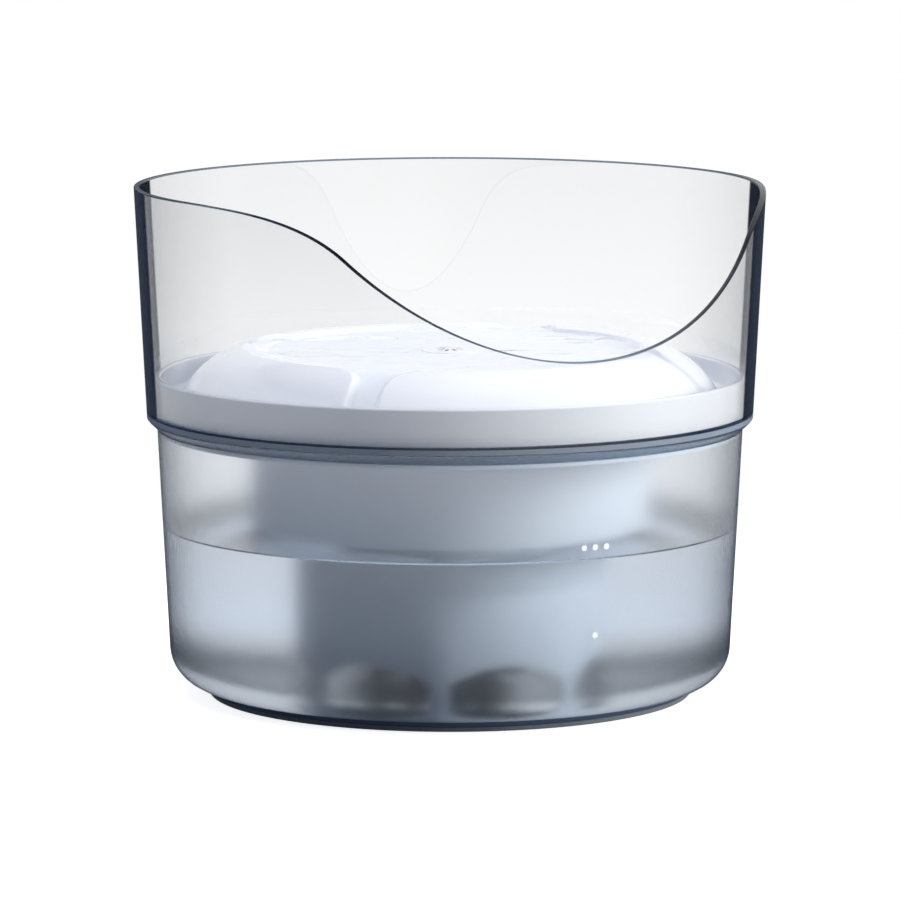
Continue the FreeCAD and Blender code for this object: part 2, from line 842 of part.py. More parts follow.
def make_pump_column():
    """Round cover over the pump, open between six legs so that water can reach the intake."""
    body = new_piece("pump_column", floor_height)
    low, high = (column_bore, ZERO), (s.column_radius, s.column_seam_height)
    revolve(body, "wall", rectangle(body, "wall_profile", "XZ_Plane", low, high))
    arch = s.column_radius * sine(HALF_TURN / s.column_leg_count) - s.column_leg_width / 2
    crown = s.column_leg_height * 2
    corners = [
        (-arch, -s.column_wall),
        (arch, -s.column_wall),
        (arch, s.column_leg_height, -crown),
        (-arch, s.column_leg_height),
    ]
    window = outline(body, "arch_outline", "XZ_Plane", corners)
    cut = pocket(body, "arch", window, s.column_radius + s.column_wall, reverse=True)
    repeat_round(body, "arches", cut, s.column_leg_count)


def make_column_cap():
    """Upper half of the column, which plugs into the lower half and carries the basket."""
    body = new_piece("column_cap", cap_seat)
    spigot = column_bore - s.snug_gap
    inner = spigot - s.column_wall
    under = s.cap_height - s.cap_plate
    corners = [
        (inner, -s.cap_spigot_height),
        (spigot, -s.cap_spigot_height),
        (spigot, ZERO),
        (s.column_radius, ZERO),
        (s.column_radius, s.cap_height),
        (s.cap_bore_radius, s.cap_height),
        (s.cap_bore_radius, under),
        (inner, under),
    ]
    revolve(body, "cap", outline(body, "cap_profile", "XZ_Plane", corners))


# Fore and aft places in the pump, along Y from the rotor's plane
housing_back = s.pump_face + s.housing_length
well_start = s.pump_face + s.pump_wall
well_bottom = s.pump_face + s.well_depth
bush_bottom = well_bottom + s.bush_length
grille_front = s.volute_front + s.grille_depth
spider_back = s.volute_front - s.front_bush_length - s.well_end_wall / 2
groove_inner = s.volute_radius + s.seal_gap
cup_hole = s.cup_stud_radius + s.snug_gap


def rounded_block(body, name, front, length):
    """Pad the pump's outer section along +Y from a place in front of or behind the rotor."""
    low, high = (-s.pump_half_width, -s.pump_drop), (s.pump_half_width, s.pump_rise)
    block = pad(body, name, rectangle(body, name + "_outline", "XZ_Plane", low, high, -front), length,
                reverse=True)

    def along(edge):
        return isinstance(edge.Curve, Part.Line) and abs(edge.Curve.Direction.y) > 0.99

    return dress(body, name + "_round", "Fillet", block, s.pump_round, [along])


def cup_sockets(body, distance):
    """Sink the two blind holes that hold the studs of a pair of suction cups."""
    for name, side in (("left", -s.cup_half_track), ("right", s.cup_half_track)):
        hole = disc(body, name + "_socket_outline", "XY_Plane", cup_hole, (side, distance), -s.pump_drop)
        pocket(body, name + "_socket", hole, s.cup_stud_height + s.snug_gap, reverse=True)


def make_volute_cover():
    """Front half of the pump: impeller chamber, inlet eye with its spider, and outlet spigot."""
    body = new_piece("volute_cover", pump_seat)
    front = -s.volute_front
    rounded_block(body, "casing", front, s.volute_front + s.pump_face)
    spigot = disc(body, "spigot_outline", "XY_Plane", s.spigot_radius, (ZERO, ZERO), s.pump_rise)
    pad(body, "spigot", spigot, s.spigot_length)
    round_hole = disc(body, "chamber_outline", "XZ_Plane", s.volute_radius, offset=-s.pump_face)
    depth = s.pump_face + s.volute_front - s.pump_wall
    pocket(body, "chamber", round_hole, depth, reverse=True)
    high = s.pump_rise + s.spigot_length
    bore = disc(body, "bore_outline", "XY_Plane", s.spigot_bore, (ZERO, ZERO), high)
    pocket(body, "bore", bore, high)
    eye = disc(body, "eye_outline", "XZ_Plane", s.eye_radius, offset=s.volute_front)
    pocket(body, "eye", eye, s.volute_front)
    groove = place_on(body, "groove_outline", "XZ_Plane", -s.pump_face)
    for radius in (groove_inner, groove_inner + s.seal_width):
        ring = Part.Circle(FreeCAD.Vector(0, 0, 0), FreeCAD.Vector(0, 0, 1), radius.value)
        edge = groove.addGeometry(ring)
        rule = groove.addConstraint(Sketcher.Constraint("Radius", edge, radius.value))
        groove.setExpression(f"Constraints[{rule}]", radius.text)
        groove.addConstraint(Sketcher.Constraint("Coincident", edge, 3, -1, 1))
    pocket(body, "groove", groove, s.seal_depth, reverse=True)
    half = s.spider_rib / 2
    low, high = (-half, ZERO), (half, s.eye_radius + s.spider_rib)
    rib = rectangle(body, "rib_outline", "XZ_Plane", low, high, s.volute_front)
    arm = pad(body, "rib", rib, s.pump_wall, reverse=True)
    repeat_round(body, "ribs", arm, s.spider_count, "Y_Axis")
    boss = disc(body, "boss_outline", "XZ_Plane", s.spider_radius, offset=s.volute_front)
    pad(body, "boss", boss, s.volute_front - spider_back + s.front_bush_length, reverse=True)
    seat = disc(body, "bush_seat_outline", "XZ_Plane", s.front_bush_radius, offset=spider_back
                - s.front_bush_length)
    pocket(body, "bush_seat", seat, s.front_bush_length, reverse=True)
    cup_sockets(body, ZERO)


def make_chamber_seal():
    body = new_piece("chamber_seal", pump_seat)
    low = (s.pump_face - s.seal_depth, groove_inner)
    high = (s.pump_face, groove_inner + s.seal_width)
    revolve(body, "ring", rectangle(body, "ring_profile", "YZ_Plane", low, high), "H_Axis")


def make_motor_housing():
    """Rear half of the pump: a box open at the back, with the rotor's well inside."""
    body = new_piece("motor_housing", pump_seat)
    rounded_block(body, "casing", s.pump_face, s.housing_length)
    wall = s.pump_wall
    low = (wall - s.pump_half_width, wall - s.pump_drop)
    high = (s.pump_half_width - wall, s.pump_rise - wall)
    inside = rectangle(body, "inside_outline", "XZ_Plane", low, high, -housing_back)
    pocket(body, "inside", inside, s.housing_length - wall, reverse=True)
    well = disc(body, "well_outline", "XZ_Plane", s.well_radius + s.well_wall, offset=-s.pump_face)
    pad(body, "well", well, bush_bottom + s.well_end_wall - s.pump_face, reverse=True)
    bore = disc(body, "well_bore_outline", "XZ_Plane", s.well_radius, offset=-s.pump_face)
    pocket(body, "well_bore", bore, s.well_depth)
    seat = disc(body, "bush_seat_outline", "XZ_Plane", s.bush_radius, offset=-well_bottom)
    pocket(body, "bush_seat", seat, s.bush_length)
    cup_sockets(body, s.rear_cup_distance)


def make_bushes():
    """Rubber bushes that hold the two ends of the fixed shaft."""
    hole = s.shaft_radius
    rear = new_piece("rear_bush", pump_seat)
    low, high = (well_bottom, hole), (bush_bottom, s.bush_radius - s.running_gap)
    revolve(rear, "bush", rectangle(rear, "bush_profile", "YZ_Plane", low, high), "H_Axis")
    front = new_piece("front_bush", pump_seat)
    start = s.front_bush_length - spider_back
    low = (start - s.front_bush_length, hole)
    high = (start, s.front_bush_radius - s.running_gap)
    revolve(front, "bush", rectangle(front, "bush_profile", "YZ_Plane", low, high), "H_Axis")


def make_rotor():
    """Fixed shaft, and the magnet and impeller that turn on it together."""
    shaft = new_piece("rotor_shaft", pump_seat)
    start = -spider_back
    end = bush_bottom - s.running_gap
    rod = disc(shaft, "rod_outline", "XZ_Plane", s.shaft_radius, offset=-start)
    pad(shaft, "rod", rod, end - start, reverse=True)

    magnet = new_piece("rotor_magnet", pump_seat)
    low = (s.pump_face - s.impeller_gap, bore_radius)
    high = (well_bottom - s.impeller_gap, s.magnet_radius)
    profile = rectangle(magnet, "magnet_profile", "YZ_Plane", low, high)
    revolve(magnet, "magnet", profile, "H_Axis")

    impeller = new_piece("impeller", pump_seat)
    back = s.pump_face - s.impeller_gap
    start = back - s.impeller_plate
    nose = start - s.blade_depth
    corners = [
        (nose, bore_radius),
        (nose, s.impeller_hub_radius),
        (start, s.impeller_hub_radius),
        (start, s.impeller_radius),
        (back, s.impeller_radius),
        (back, bore_radius),
    ]
    hub = outline(impeller, "hub_profile", "YZ_Plane", corners)
    revolve(impeller, "hub", hub, "H_Axis")
    half = s.blade_width / 2
    low, high = (-half, s.impeller_hub_radius - s.blade_width), (half, s.impeller_radius)
    blade = rectangle(impeller, "blade_outline", "XZ_Plane", low, high, -start)
    vane = pad(impeller, "blade", blade, s.blade_depth)
    repeat_round(impeller, "blades", vane, s.blade_count, "Y_Axis")


def make_stator():
    """Laminated core round the rotor's well, its bobbin and winding, and the potting."""
    core = new_piece("stator_core", pump_seat)
    inner = s.well_radius + s.well_wall + s.pole_gap
    outer = s.core_half_width
    corners = [
        (-outer, -s.core_drop),
        (-inner, -s.core_drop),
        (-inner, s.yoke_low),
        (inner, s.yoke_low),
        (inner, -s.core_drop),
        (outer, -s.core_drop),
        (outer, s.yoke_high),
        (-outer, s.yoke_high),
    ]
    stack = outline(core, "stack_outline", "XZ_Plane", corners, -s.core_front)
    pad(core, "stack", stack, s.core_depth, reverse=True)

    gap = s.snug_gap
    hole_low = (s.core_front - gap, s.yoke_low - gap)
    hole_high = (s.core_front + s.core_depth + gap, s.yoke_high + gap)
    tube = s.bobbin_wall
    tube_low = (hole_low[0] - tube, hole_low[1] - tube)
    tube_high = (hole_high[0] + tube, hole_high[1] + tube)
    depth = s.winding_depth
    coil_low = (tube_low[0] - depth, tube_low[1] - depth)
    coil_high = (tube_high[0] + depth, tube_high[1] + depth)
    coil_length = (s.bobbin_half_length - s.bobbin_flange) * 2

    bobbin = new_piece("coil_bobbin", pump_seat)
    flange = rectangle(bobbin, "flange_outline", "YZ_Plane", coil_low, coil_high)
    pad(bobbin, "flanges", flange, s.bobbin_half_length * 2, symmetric=True)
    window = rectangle(bobbin, "window_outline", "YZ_Plane", hole_low, hole_high)
    pocket(bobbin, "window", window, s.bobbin_half_length * 3, symmetric=True)
    room = rectangle(bobbin, "room_outline", "YZ_Plane", tube_low, tube_high)
    add_outline(room, [coil_low, (coil_high[0], coil_low[1]), coil_high, (coil_low[0], coil_high[1])])
    pocket(bobbin, "winding_room", room, coil_length, symmetric=True)

    winding = new_piece("coil_winding", pump_seat)
    turns = rectangle(winding, "turns_outline", "YZ_Plane", tube_low, tube_high)
    add_outline(turns, [coil_low, (coil_high[0], coil_low[1]), coil_high, (coil_low[0], coil_high[1])])
    pad(winding, "turns", turns, coil_length, symmetric=True)
    return core, bobbin, winding


def make_potting(core, bobbin, winding):
    """Resin that fills the motor housing round the core, the winding and the rotor's well."""
    block = doc.addObject("Part::Box", "potting_block")
    wall = s.pump_wall
    block.setExpression("Length", ((s.pump_half_width - wall) * 2).text)
    block.setExpression("Width", (s.housing_length - wall - s.potting_inset).text)
    block.setExpression("Height", (s.pump_drop + s.pump_rise - wall * 2).text)
    block.setExpression("Placement.Base.x", (wall - s.pump_half_width).text)
    block.setExpression("Placement.Base.y", well_start.text)
    block.setExpression("Placement.Base.z", (pump_seat - s.pump_drop + wall).text)
    well = doc.addObject("Part::Cylinder", "well_room")
    well.setExpression("Radius", (s.well_radius + s.well_wall).text)
    well.setExpression("Height", (bush_bottom + s.well_end_wall).text)
    well.Placement = FreeCAD.Placement(FreeCAD.Vector(), FreeCAD.Rotation(FreeCAD.Vector(1, 0, 0), -90))
    well.setExpression("Placement.Base.z", pump_seat.text)
    gland = doc.addObject("Part::Cylinder", "gland_room")
    gland.setExpression("Radius", s.gland_radius.text)
    gland.setExpression("Height", (s.gland_length * 2).text)
    gland.Placement = FreeCAD.Placement(FreeCAD.Vector(), FreeCAD.Rotation(FreeCAD.Vector(1, 0, 0), -90))
    gland.setExpression("Placement.Base.y", (housing_back - s.potting_inset - s.gland_length).text)
    gland.setExpression("Placement.Base.z", (pump_seat + s.gland_rise).text)
    rooms = doc.addObject("Part::MultiFuse", "potting_rooms")
    rooms.Shapes = [core, bobbin, winding, well, gland]
    potting = doc.addObject("Part::Cut", "motor_potting")
    potting.Label = "motor_potting"
    potting.Base = block
    potting.Tool = rooms
    pieces.append(potting)


def make_cord_gland():
    """Rubber gland where the pump's cord would leave the potting."""
    body = new_piece("cord_gland", pump_seat)
    middle = (ZERO, s.gland_rise)
    back = housing_back - s.potting_inset
    stem = disc(body, "stem_outline", "XZ_Plane", s.gland_radius, middle, s.gland_length - back)
    pad(body, "stem", stem, s.gland_length, reverse=True)
    flange = disc(body, "flange_outline", "XZ_Plane", s.gland_flange_radius, middle, -back)
    pad(body, "flange", flange, s.gland_flange, reverse=True)
    hole = disc(body, "hole_outline", "XZ_Plane", s.gland_bore, middle, -back - s.gland_flange)
    pocket(body, "hole", hole, s.gland_flange + s.gland_length / 2, reverse=True)


def make_intake_grille():
    """Box that holds the foam in front of the pump, with a slotted face and slider rails."""
    body = new_piece("intake_grille", pump_seat)
    half, drop, rise = s.grille_half_width, s.grille_drop, s.grille_rise
    box = rectangle(body, "box_outline", "XZ_Plane", (-half, -drop), (half, rise), s.volute_front)
    pad(body, "box", box, s.grille_depth)
    wall = s.grille_wall
    low, high = (wall - half, wall - drop), (half - wall, rise - wall)
    inside = rectangle(body, "inside_outline", "XZ_Plane", low, high, s.volute_front)
    pocket(body, "inside", inside, s.grille_depth - wall, reverse=True)
    width = s.grille_slot_width / 2
    tall = s.grille_slot_height / 2
    first = -s.grille_slot_pitch * (s.grille_slot_count - 1) / 2
    low, high = (first - width, -tall), (first + width, tall)
    slot = rectangle(body, "slot_outline", "XZ_Plane", low, high, grille_front)
    cut = pocket(body, "slot", slot, wall)
    row = body.newObject("PartDesign::LinearPattern", "slots")
    row.Originals = [cut]
    row.Direction = (next(item for item in body.Origin.OriginFeatures if item.Role == "X_Axis"), [""])
    row.setExpression("Length", (s.grille_slot_pitch * (s.grille_slot_count - 1)).text)
    row.setExpression("Occurrences", s.grille_slot_count.text)
    body.Tip = row
    near = s.slider_half_height + s.loose_gap
    out = -grille_front
    lip_back = out - s.slider_thickness - s.loose_gap * 2
    lip_front = lip_back - s.rail_lip_depth
    for name, side in (("upper_rail", 1), ("lower_rail", -1)):
        corners = [
            (out, near * side),
            (out, (near + s.rail_height) * side),
            (lip_front, (near + s.rail_height) * side),
            (lip_front, (near - s.rail_lip) * side),
            (lip_back, (near - s.rail_lip) * side),
            (lip_back, near * side),
        ]
        rail = outline(body, name + "_outline", "YZ_Plane", corners)
        pad(body, name, rail, s.rail_half_length * 2, symmetric=True)


def make_prefilter_foam():
    """Foam block that fills the intake box."""
    body = new_piece("prefilter_foam", pump_seat)
    margin = s.grille_wall + s.foam_gap
    low = (margin - s.grille_half_width, margin - s.grille_drop)
    high = (s.grille_half_width - margin, s.grille_rise - margin)
    block = rectangle(body, "block_outline", "XZ_Plane", low, high, s.volute_front + s.foam_gap)
    pad(body, "block", block, s.grille_depth - margin - s.foam_gap)


def make_flow_slider():
    """Plate with a thumb knob that slides across the intake slots."""
    body = new_piece("flow_slider", pump_seat)
    half, tall = s.slider_half_width, s.slider_half_height
    back = grille_front + s.loose_gap
    plate = rectangle(body, "plate_outline", "XZ_Plane", (-half, -tall), (half, tall), back)
    pad(body, "plate", plate, s.slider_thickness)
    front = back + s.slider_thickness
    knob = disc(body, "knob_outline", "XZ_Plane", s.knob_radius, offset=front)
    pad(body, "knob", knob, s.knob_height)


def make_suction_cups():
    """Four rubber suction cups under the pump."""
    lip, neck, top = s.cup_lip, s.cup_neck_radius, s.cup_height
    shoulder = s.cup_hollow_height + lip
    corners = [
        (ZERO, s.cup_hollow_height),
        (s.cup_radius - lip / 2, ZERO),
        (s.cup_radius, ZERO),
        (s.cup_radius, lip),
        (neck, shoulder + lip),
        (neck, top),
        (s.cup_stud_radius, top),
        (s.cup_stud_radius, top + s.cup_stud_height),
        (ZERO, top + s.cup_stud_height),
    ]
    places = [
        (side, distance)
        for distance in (ZERO, s.rear_cup_distance)
        for side in (-s.cup_half_track, s.cup_half_track)
    ]
    for number, (side, distance) in enumerate(places, 1):
        body = new_piece(f"suction_cup_{number}", floor_height)
        body.setExpression("Placement.Base.x", side.text)
        body.setExpression("Placement.Base.y", distance.text)
        revolve(body, "cup", outline(body, "cup_profile", "XZ_Plane", corners))


def make_riser_tube():
    """Tube from the pump's spigot up through the cap, basket and cartridge to the dish."""
    start = pump_seat + s.pump_rise
    body = new_piece("riser_tube", start)
    socket = s.spigot_radius + s.snug_gap
    socket_outer = socket + s.riser_socket_wall
    inner = s.riser_radius - s.riser_wall
    shoulder = s.spigot_length + s.snug_gap
    top = dish_seat + basin_under - s.riser_top_gap - start
    corners = [
        (socket, ZERO),
        (socket_outer, ZERO),
        (socket_outer, shoulder),
        (s.riser_radius, shoulder + s.riser_socket_wall),
        (s.riser_radius, top),
        (inner, top),
        (inner, shoulder),
        (socket, shoulder),
    ]
    revolve(body, "tube", outline(body, "tube_profile", "XZ_Plane", corners))


def check_and_write():
    """Stop if anything failed to build, then write each sub-part to its own file."""
    doc.recompute()
    failed = [item.Name for item in doc.Objects if {"Invalid", "Error"} & set(item.State)]
    if failed:
        raise RuntimeError(f"features that failed to build: {failed}")
    for piece in pieces:
        if piece.Shape.isNull() or not piece.Shape.isValid():
            raise RuntimeError(f"{piece.Label} has no valid shape")
    os.makedirs("parts", exist_ok=True)
    for piece in pieces:
        piece.Shape.exportStep(os.path.join("parts", piece.Label + ".step"))
        print(f"{piece.Label}: {len(piece.Shape.Solids)} solid, {piece.Shape.Volume / 1000:.2f} cm3")


make_anti_slip_ring()
make_base_ring()
make_reservoir_tank()
make_splash_guard()
make_drinking_dish()
make_outlet_grille()
make_outlet_seal()
make_filter_basket()
make_cartridge()
make_pump_column()
make_column_cap()
make_volute_cover()
make_chamber_seal()
make_motor_housing()
make_bushes()
make_rotor()
make_potting(*make_stator())
make_cord_gland()
make_intake_grille()
make_prefilter_foam()
make_flow_slider()
make_suction_cups()
make_riser_tube()
check_and_write()
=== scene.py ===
"""Studio scene of a round pet water fountain: frosted tank, glossy dish and clear splash guard."""
import logging
import math
from contextlib import contextmanager
from dataclasses import dataclass
from enum import Enum
from typing import Callable, Iterator, Optional, Sequence, Union

import bpy
import numpy as np
from mathutils import Euler, Matrix, Vector


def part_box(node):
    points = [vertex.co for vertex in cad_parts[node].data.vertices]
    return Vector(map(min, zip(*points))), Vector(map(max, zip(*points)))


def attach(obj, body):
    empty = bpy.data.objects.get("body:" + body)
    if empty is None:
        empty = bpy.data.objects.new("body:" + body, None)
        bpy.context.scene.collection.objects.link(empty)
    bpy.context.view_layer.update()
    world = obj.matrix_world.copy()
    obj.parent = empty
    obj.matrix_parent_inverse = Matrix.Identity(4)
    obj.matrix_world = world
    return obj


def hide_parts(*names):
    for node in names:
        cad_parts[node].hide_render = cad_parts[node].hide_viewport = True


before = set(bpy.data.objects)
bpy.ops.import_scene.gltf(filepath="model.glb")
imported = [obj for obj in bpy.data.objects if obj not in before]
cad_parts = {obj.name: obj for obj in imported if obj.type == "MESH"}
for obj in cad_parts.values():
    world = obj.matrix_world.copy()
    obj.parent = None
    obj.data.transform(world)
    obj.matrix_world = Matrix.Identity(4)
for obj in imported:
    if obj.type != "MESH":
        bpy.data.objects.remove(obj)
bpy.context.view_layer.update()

MM = 0.001

log = logging.getLogger("fountain")
Piece = bpy.types.Object
Colour = tuple[float, float, float]
Corner = tuple[float, ...]
Row = np.ndarray


# ---------------------------------------------------------------- shader arithmetic


class Signal:
    """A shader socket that takes part in Python arithmetic."""

    def __init__(self, tree: bpy.types.NodeTree, socket: bpy.types.NodeSocket) -> None:
        """Wrap a socket of a node tree."""
        self.tree = tree
        self.socket = socket

    def _maths(self, operation: str, first: "Term", second: "Term") -> "Signal":
        """Add a Math node and give its result.

        Args:
            operation: The Math node's operation.
            first: The upper term.
            second: The lower term.

        Returns:
            The node's result.
        """
        node = self.tree.nodes.new("ShaderNodeMath")
        node.operation = operation
        feed(self.tree, node.inputs[0], first)
        feed(self.tree, node.inputs[1], second)
        return Signal(self.tree, node.outputs[0])

    def __add__(self, other: "Term") -> "Signal":
        """Sum of two terms."""
        return self._maths("ADD", self, other)

    def __radd__(self, other: "Term") -> "Signal":
        """Sum of two terms."""
        return self._maths("ADD", other, self)

    def __sub__(self, other: "Term") -> "Signal":
        """Difference of two terms."""
        return self._maths("SUBTRACT", self, other)

    def __rsub__(self, other: "Term") -> "Signal":
        """Difference of two terms."""
        return self._maths("SUBTRACT", other, self)

    def __mul__(self, other: "Term") -> "Signal":
        """Product of two terms."""
        return self._maths("MULTIPLY", self, other)

    def __rmul__(self, other: "Term") -> "Signal":
        """Product of two terms."""
        return self._maths("MULTIPLY", other, self)

    def at_least(self, other: "Term") -> "Signal":
        """The larger of two terms."""
        return self._maths("MAXIMUM", self, other)


Term = Union[Signal, float, Sequence[float]]


def feed(tree: bpy.types.NodeTree, socket: bpy.types.NodeSocket, term: Term) -> None:
    """Link a signal to a socket, or set the socket's own value."""
    if isinstance(term, Signal):
        tree.links.new(term.socket, socket)
    elif isinstance(term, tuple) and len(term) == 3 and len(getattr(socket, "default_value", (0,))) == 4:
        socket.default_value = (*term, 1.0)
    else:
        socket.default_value = term


class Recipe:
    """The node tree of one finish, or of the studio's surround, while it is put together."""

    def __init__(self, holder: Union[bpy.types.Material, bpy.types.World]) -> None:
        """Empty the node tree of a material or a world."""
        self.holder = holder
        holder.use_nodes = True
        self.tree = holder.node_tree
        self.tree.nodes.clear()

    def node(
        self,
        kind: str,
        settings: Optional[dict] = None,
        sockets: Optional[dict] = None,
        output: Union[int, str] = 0,
    ) -> Signal:
        """Add any node.

        Args:
            kind: The node's type.
            settings: Its properties, and a ramp's stops under "stops".
            sockets: Values or signals of its inputs, by name or number.
            output: The output to give back.

        Returns:
            The chosen output.
        """
        made = self.tree.nodes.new(kind)
        for word, value in (settings or {}).items():
            if word == "stops":
                ramp = made.color_ramp.elements
                while len(ramp) < len(value):
                    ramp.new(0.5)
                for stop, (share, tone) in zip(ramp, value):
                    stop.position = share
                    stop.color = (tone, tone, tone, 1.0) if isinstance(tone, float) else (*tone, 1.0)
            else:
                setattr(made, word, value)
        for key, term in (sockets or {}).items():
            feed(self.tree, made.inputs[key], term)
        return Signal(self.tree, made.outputs[output])

    def place(self, stretch: Colour = (1.0, 1.0, 1.0), turn: Colour = (0.0, 0.0, 0.0)) -> Signal:
        """Object coordinates, stretched and turned by a Mapping node."""
        spot = self.node("ShaderNodeTexCoord", output="Object")
        return self.node("ShaderNodeMapping", None, {"Vector": spot, "Scale": stretch, "Rotation": turn})

    def noise(
        self, scale: float, detail: float = 2.0, rough: float = 0.5, where: Optional[Signal] = None
    ) -> Signal:
        """Noise between 0 and 1 with this many cells to the metre."""
        sockets = {"Vector": where or self.place(), "Scale": scale, "Detail": detail, "Roughness": rough}
        return self.node("ShaderNodeTexNoise", None, sockets)

    def cells(self, scale: float, feature: str = "F1", output: str = "Distance") -> Signal:
        """Distances or colours of a cell texture with this many cells to the metre."""
        sockets = {"Vector": self.place(), "Scale": scale}
        return self.node("ShaderNodeTexVoronoi", {"feature": feature}, sockets, output)

    def bands(self, axis: str, pace: float, distortion: float) -> Signal:
        """Bands across an axis, with a wave's phase running at this pace in radians to the metre."""
        sockets = {"Vector": self.place(), "Scale": pace / 20.0, "Distortion": distortion}
        return self.node("ShaderNodeTexWave", {"bands_direction": axis}, sockets, "Fac")

    def ray(self, kind: str) -> Signal:
        """One for rays of this kind, and else nought."""
        return self.node("ShaderNodeLightPath", output=f"Is {kind} Ray")

    def mirrored(self) -> Signal:
        """One for mirrored rays, and not for those that pass through glass."""
        return (self.ray("Glossy") - self.ray("Transmission")).at_least(0.0)

    def towards(self, way: Colour) -> Signal:
        """How far a ray that leaves the scene goes this way, from 0 to 1."""
        sockets = {0: self.node("ShaderNodeTexCoord", output="Generated"), 1: way}
        return self.node("ShaderNodeVectorMath", {"operation": "DOT_PRODUCT"}, sockets, "Value") * 0.5 + 0.5

    def seen(self) -> Signal:
        """One for rays that see a thing directly, through glass or mirrored."""
        return self.ray("Camera").at_least(self.ray("Glossy")).at_least(self.ray("Transmission"))

    def ramp(self, term: Signal, *stops: tuple) -> Signal:
        """Send a signal through a colour ramp."""
        return self.node("ShaderNodeValToRGB", {"stops": stops}, {"Fac": term})

    def mix(self, share: Term, low: Term, high: Term) -> Signal:
        """Mix two colours."""
        return self.node(
            "ShaderNodeMix", {"data_type": "RGBA"}, {"Factor": share, 6: low, 7: high}, output=2
        )

    def bump(self, height: Term, distance: float, strength: float = 1.0) -> Signal:
        """Surface normal from a height signal, whose full step is this many metres."""
        sockets = {"Strength": strength, "Distance": distance, "Height": height}
        return self.node("ShaderNodeBump", None, sockets)

    def principled(self, **sockets: Term) -> Signal:
        """Add the main shader; a socket's name is written with underscores for its spaces."""
        named = {word.replace("_", " "): term for word, term in sockets.items()}
        return self.node("ShaderNodeBsdfPrincipled", None, named)

    def glow(self, colour: Colour, strength: float = 1.0, kind: str = "Emission") -> Signal:
        """Light of this colour, from a surface or, as "Background", from the world."""
        return self.node(f"ShaderNode{kind}", None, {"Color": colour, "Strength": strength})

    def clear(self, tint: Colour = (1.0, 1.0, 1.0)) -> Signal:
        """Let light pass straight through, tinted."""
        return self.node("ShaderNodeBsdfTransparent", None, {"Color": tint})

    def both(self, first: Signal, second: Signal) -> Signal:
        """Add two shaders."""
        return self.node("ShaderNodeAddShader", None, {0: first, 1: second})

    def blend(self, share: Term, low: Signal, high: Signal) -> Signal:
        """Mix two shaders."""
        return self.node("ShaderNodeMixShader", None, {0: share, 1: low, 2: high})

    def done(self, surface: Signal, volume: Optional[Signal] = None) -> None:
        """Close the tree."""
        kind = "World" if isinstance(self.holder, bpy.types.World) else "Material"
        output = self.tree.nodes.new(f"ShaderNodeOutput{kind}")
        self.tree.links.new(surface.socket, output.inputs["Surface"])
        if volume is not None:
            self.tree.links.new(volume.socket, output.inputs["Volume"])

    def finish(self, **sockets: Term) -> None:
        """Close the tree with the main shader alone."""
        self.done(self.principled(**sockets))


# ---------------------------------------------------------------- finishes


def shade(colour: Colour, factor: float) -> Colour:
    """A colour made lighter or darker."""
    return tuple(min(1.0, part * factor) for part in colour)


@dataclass(frozen=True)
class MadeFinish:
    """What every finish shares: a name and the way to its material."""

    name: str

    def dress(self, recipe: Recipe) -> None:
        """Put the nodes together."""
        raise NotImplementedError

    def make(self) -> bpy.types.Material:
        """Make the material."""
        made = bpy.data.materials.new(self.name)
        self.dress(Recipe(made))
        return made


@dataclass(frozen=True)
class MouldedPlastic(MadeFinish):
    """Injection-moulded plastic, from glossy to fine-textured."""

    colour: Colour
    roughness: float
    grain: float = 900.0
    grain_depth: float = 0.00002
    coat: float = 0.0
    variation: float = 0.03

    def dress(self, recipe: Recipe) -> None:
        """Put the nodes together."""
        cloud = recipe.noise(22.0, 3.0)
        grain = recipe.noise(self.grain, 2.0, 0.6)
        low, high = shade(self.colour, 1 - self.variation), shade(self.colour, 1 + self.variation)
        recipe.finish(
            Base_Color=recipe.mix(cloud, low, high),
            Roughness=self.roughness + (cloud - 0.5) * 0.06 + (grain - 0.5) * 0.05,
            IOR=1.5,
            Coat_Weight=self.coat,
            Coat_Roughness=0.03,
            Normal=recipe.bump(grain, self.grain_depth),
        )


@dataclass(frozen=True)
class MouldedRubber(MadeFinish):
    """Soft rubber with a dusty bloom and a fine pitted skin."""

    colour: Colour
    roughness: float = 0.7
    bloom: float = 0.25

    def dress(self, recipe: Recipe) -> None:
        """Put the nodes together."""
        dust = recipe.noise(45.0, 5.0, 0.65)
        pits = recipe.cells(1400.0)
        bloom = recipe.ramp(dust, (0.35, 0.0), (0.8, 1.0)) * self.bloom
        recipe.finish(
            Base_Color=recipe.mix(bloom, self.colour, shade(self.colour, 2.2)),
            Roughness=self.roughness + (dust - 0.5) * 0.15,
            IOR=1.52,
            Sheen_Weight=0.15,
            Sheen_Roughness=0.4,
            Normal=recipe.bump(pits * 0.6 + recipe.noise(700.0) * 0.4, 0.00004),
        )


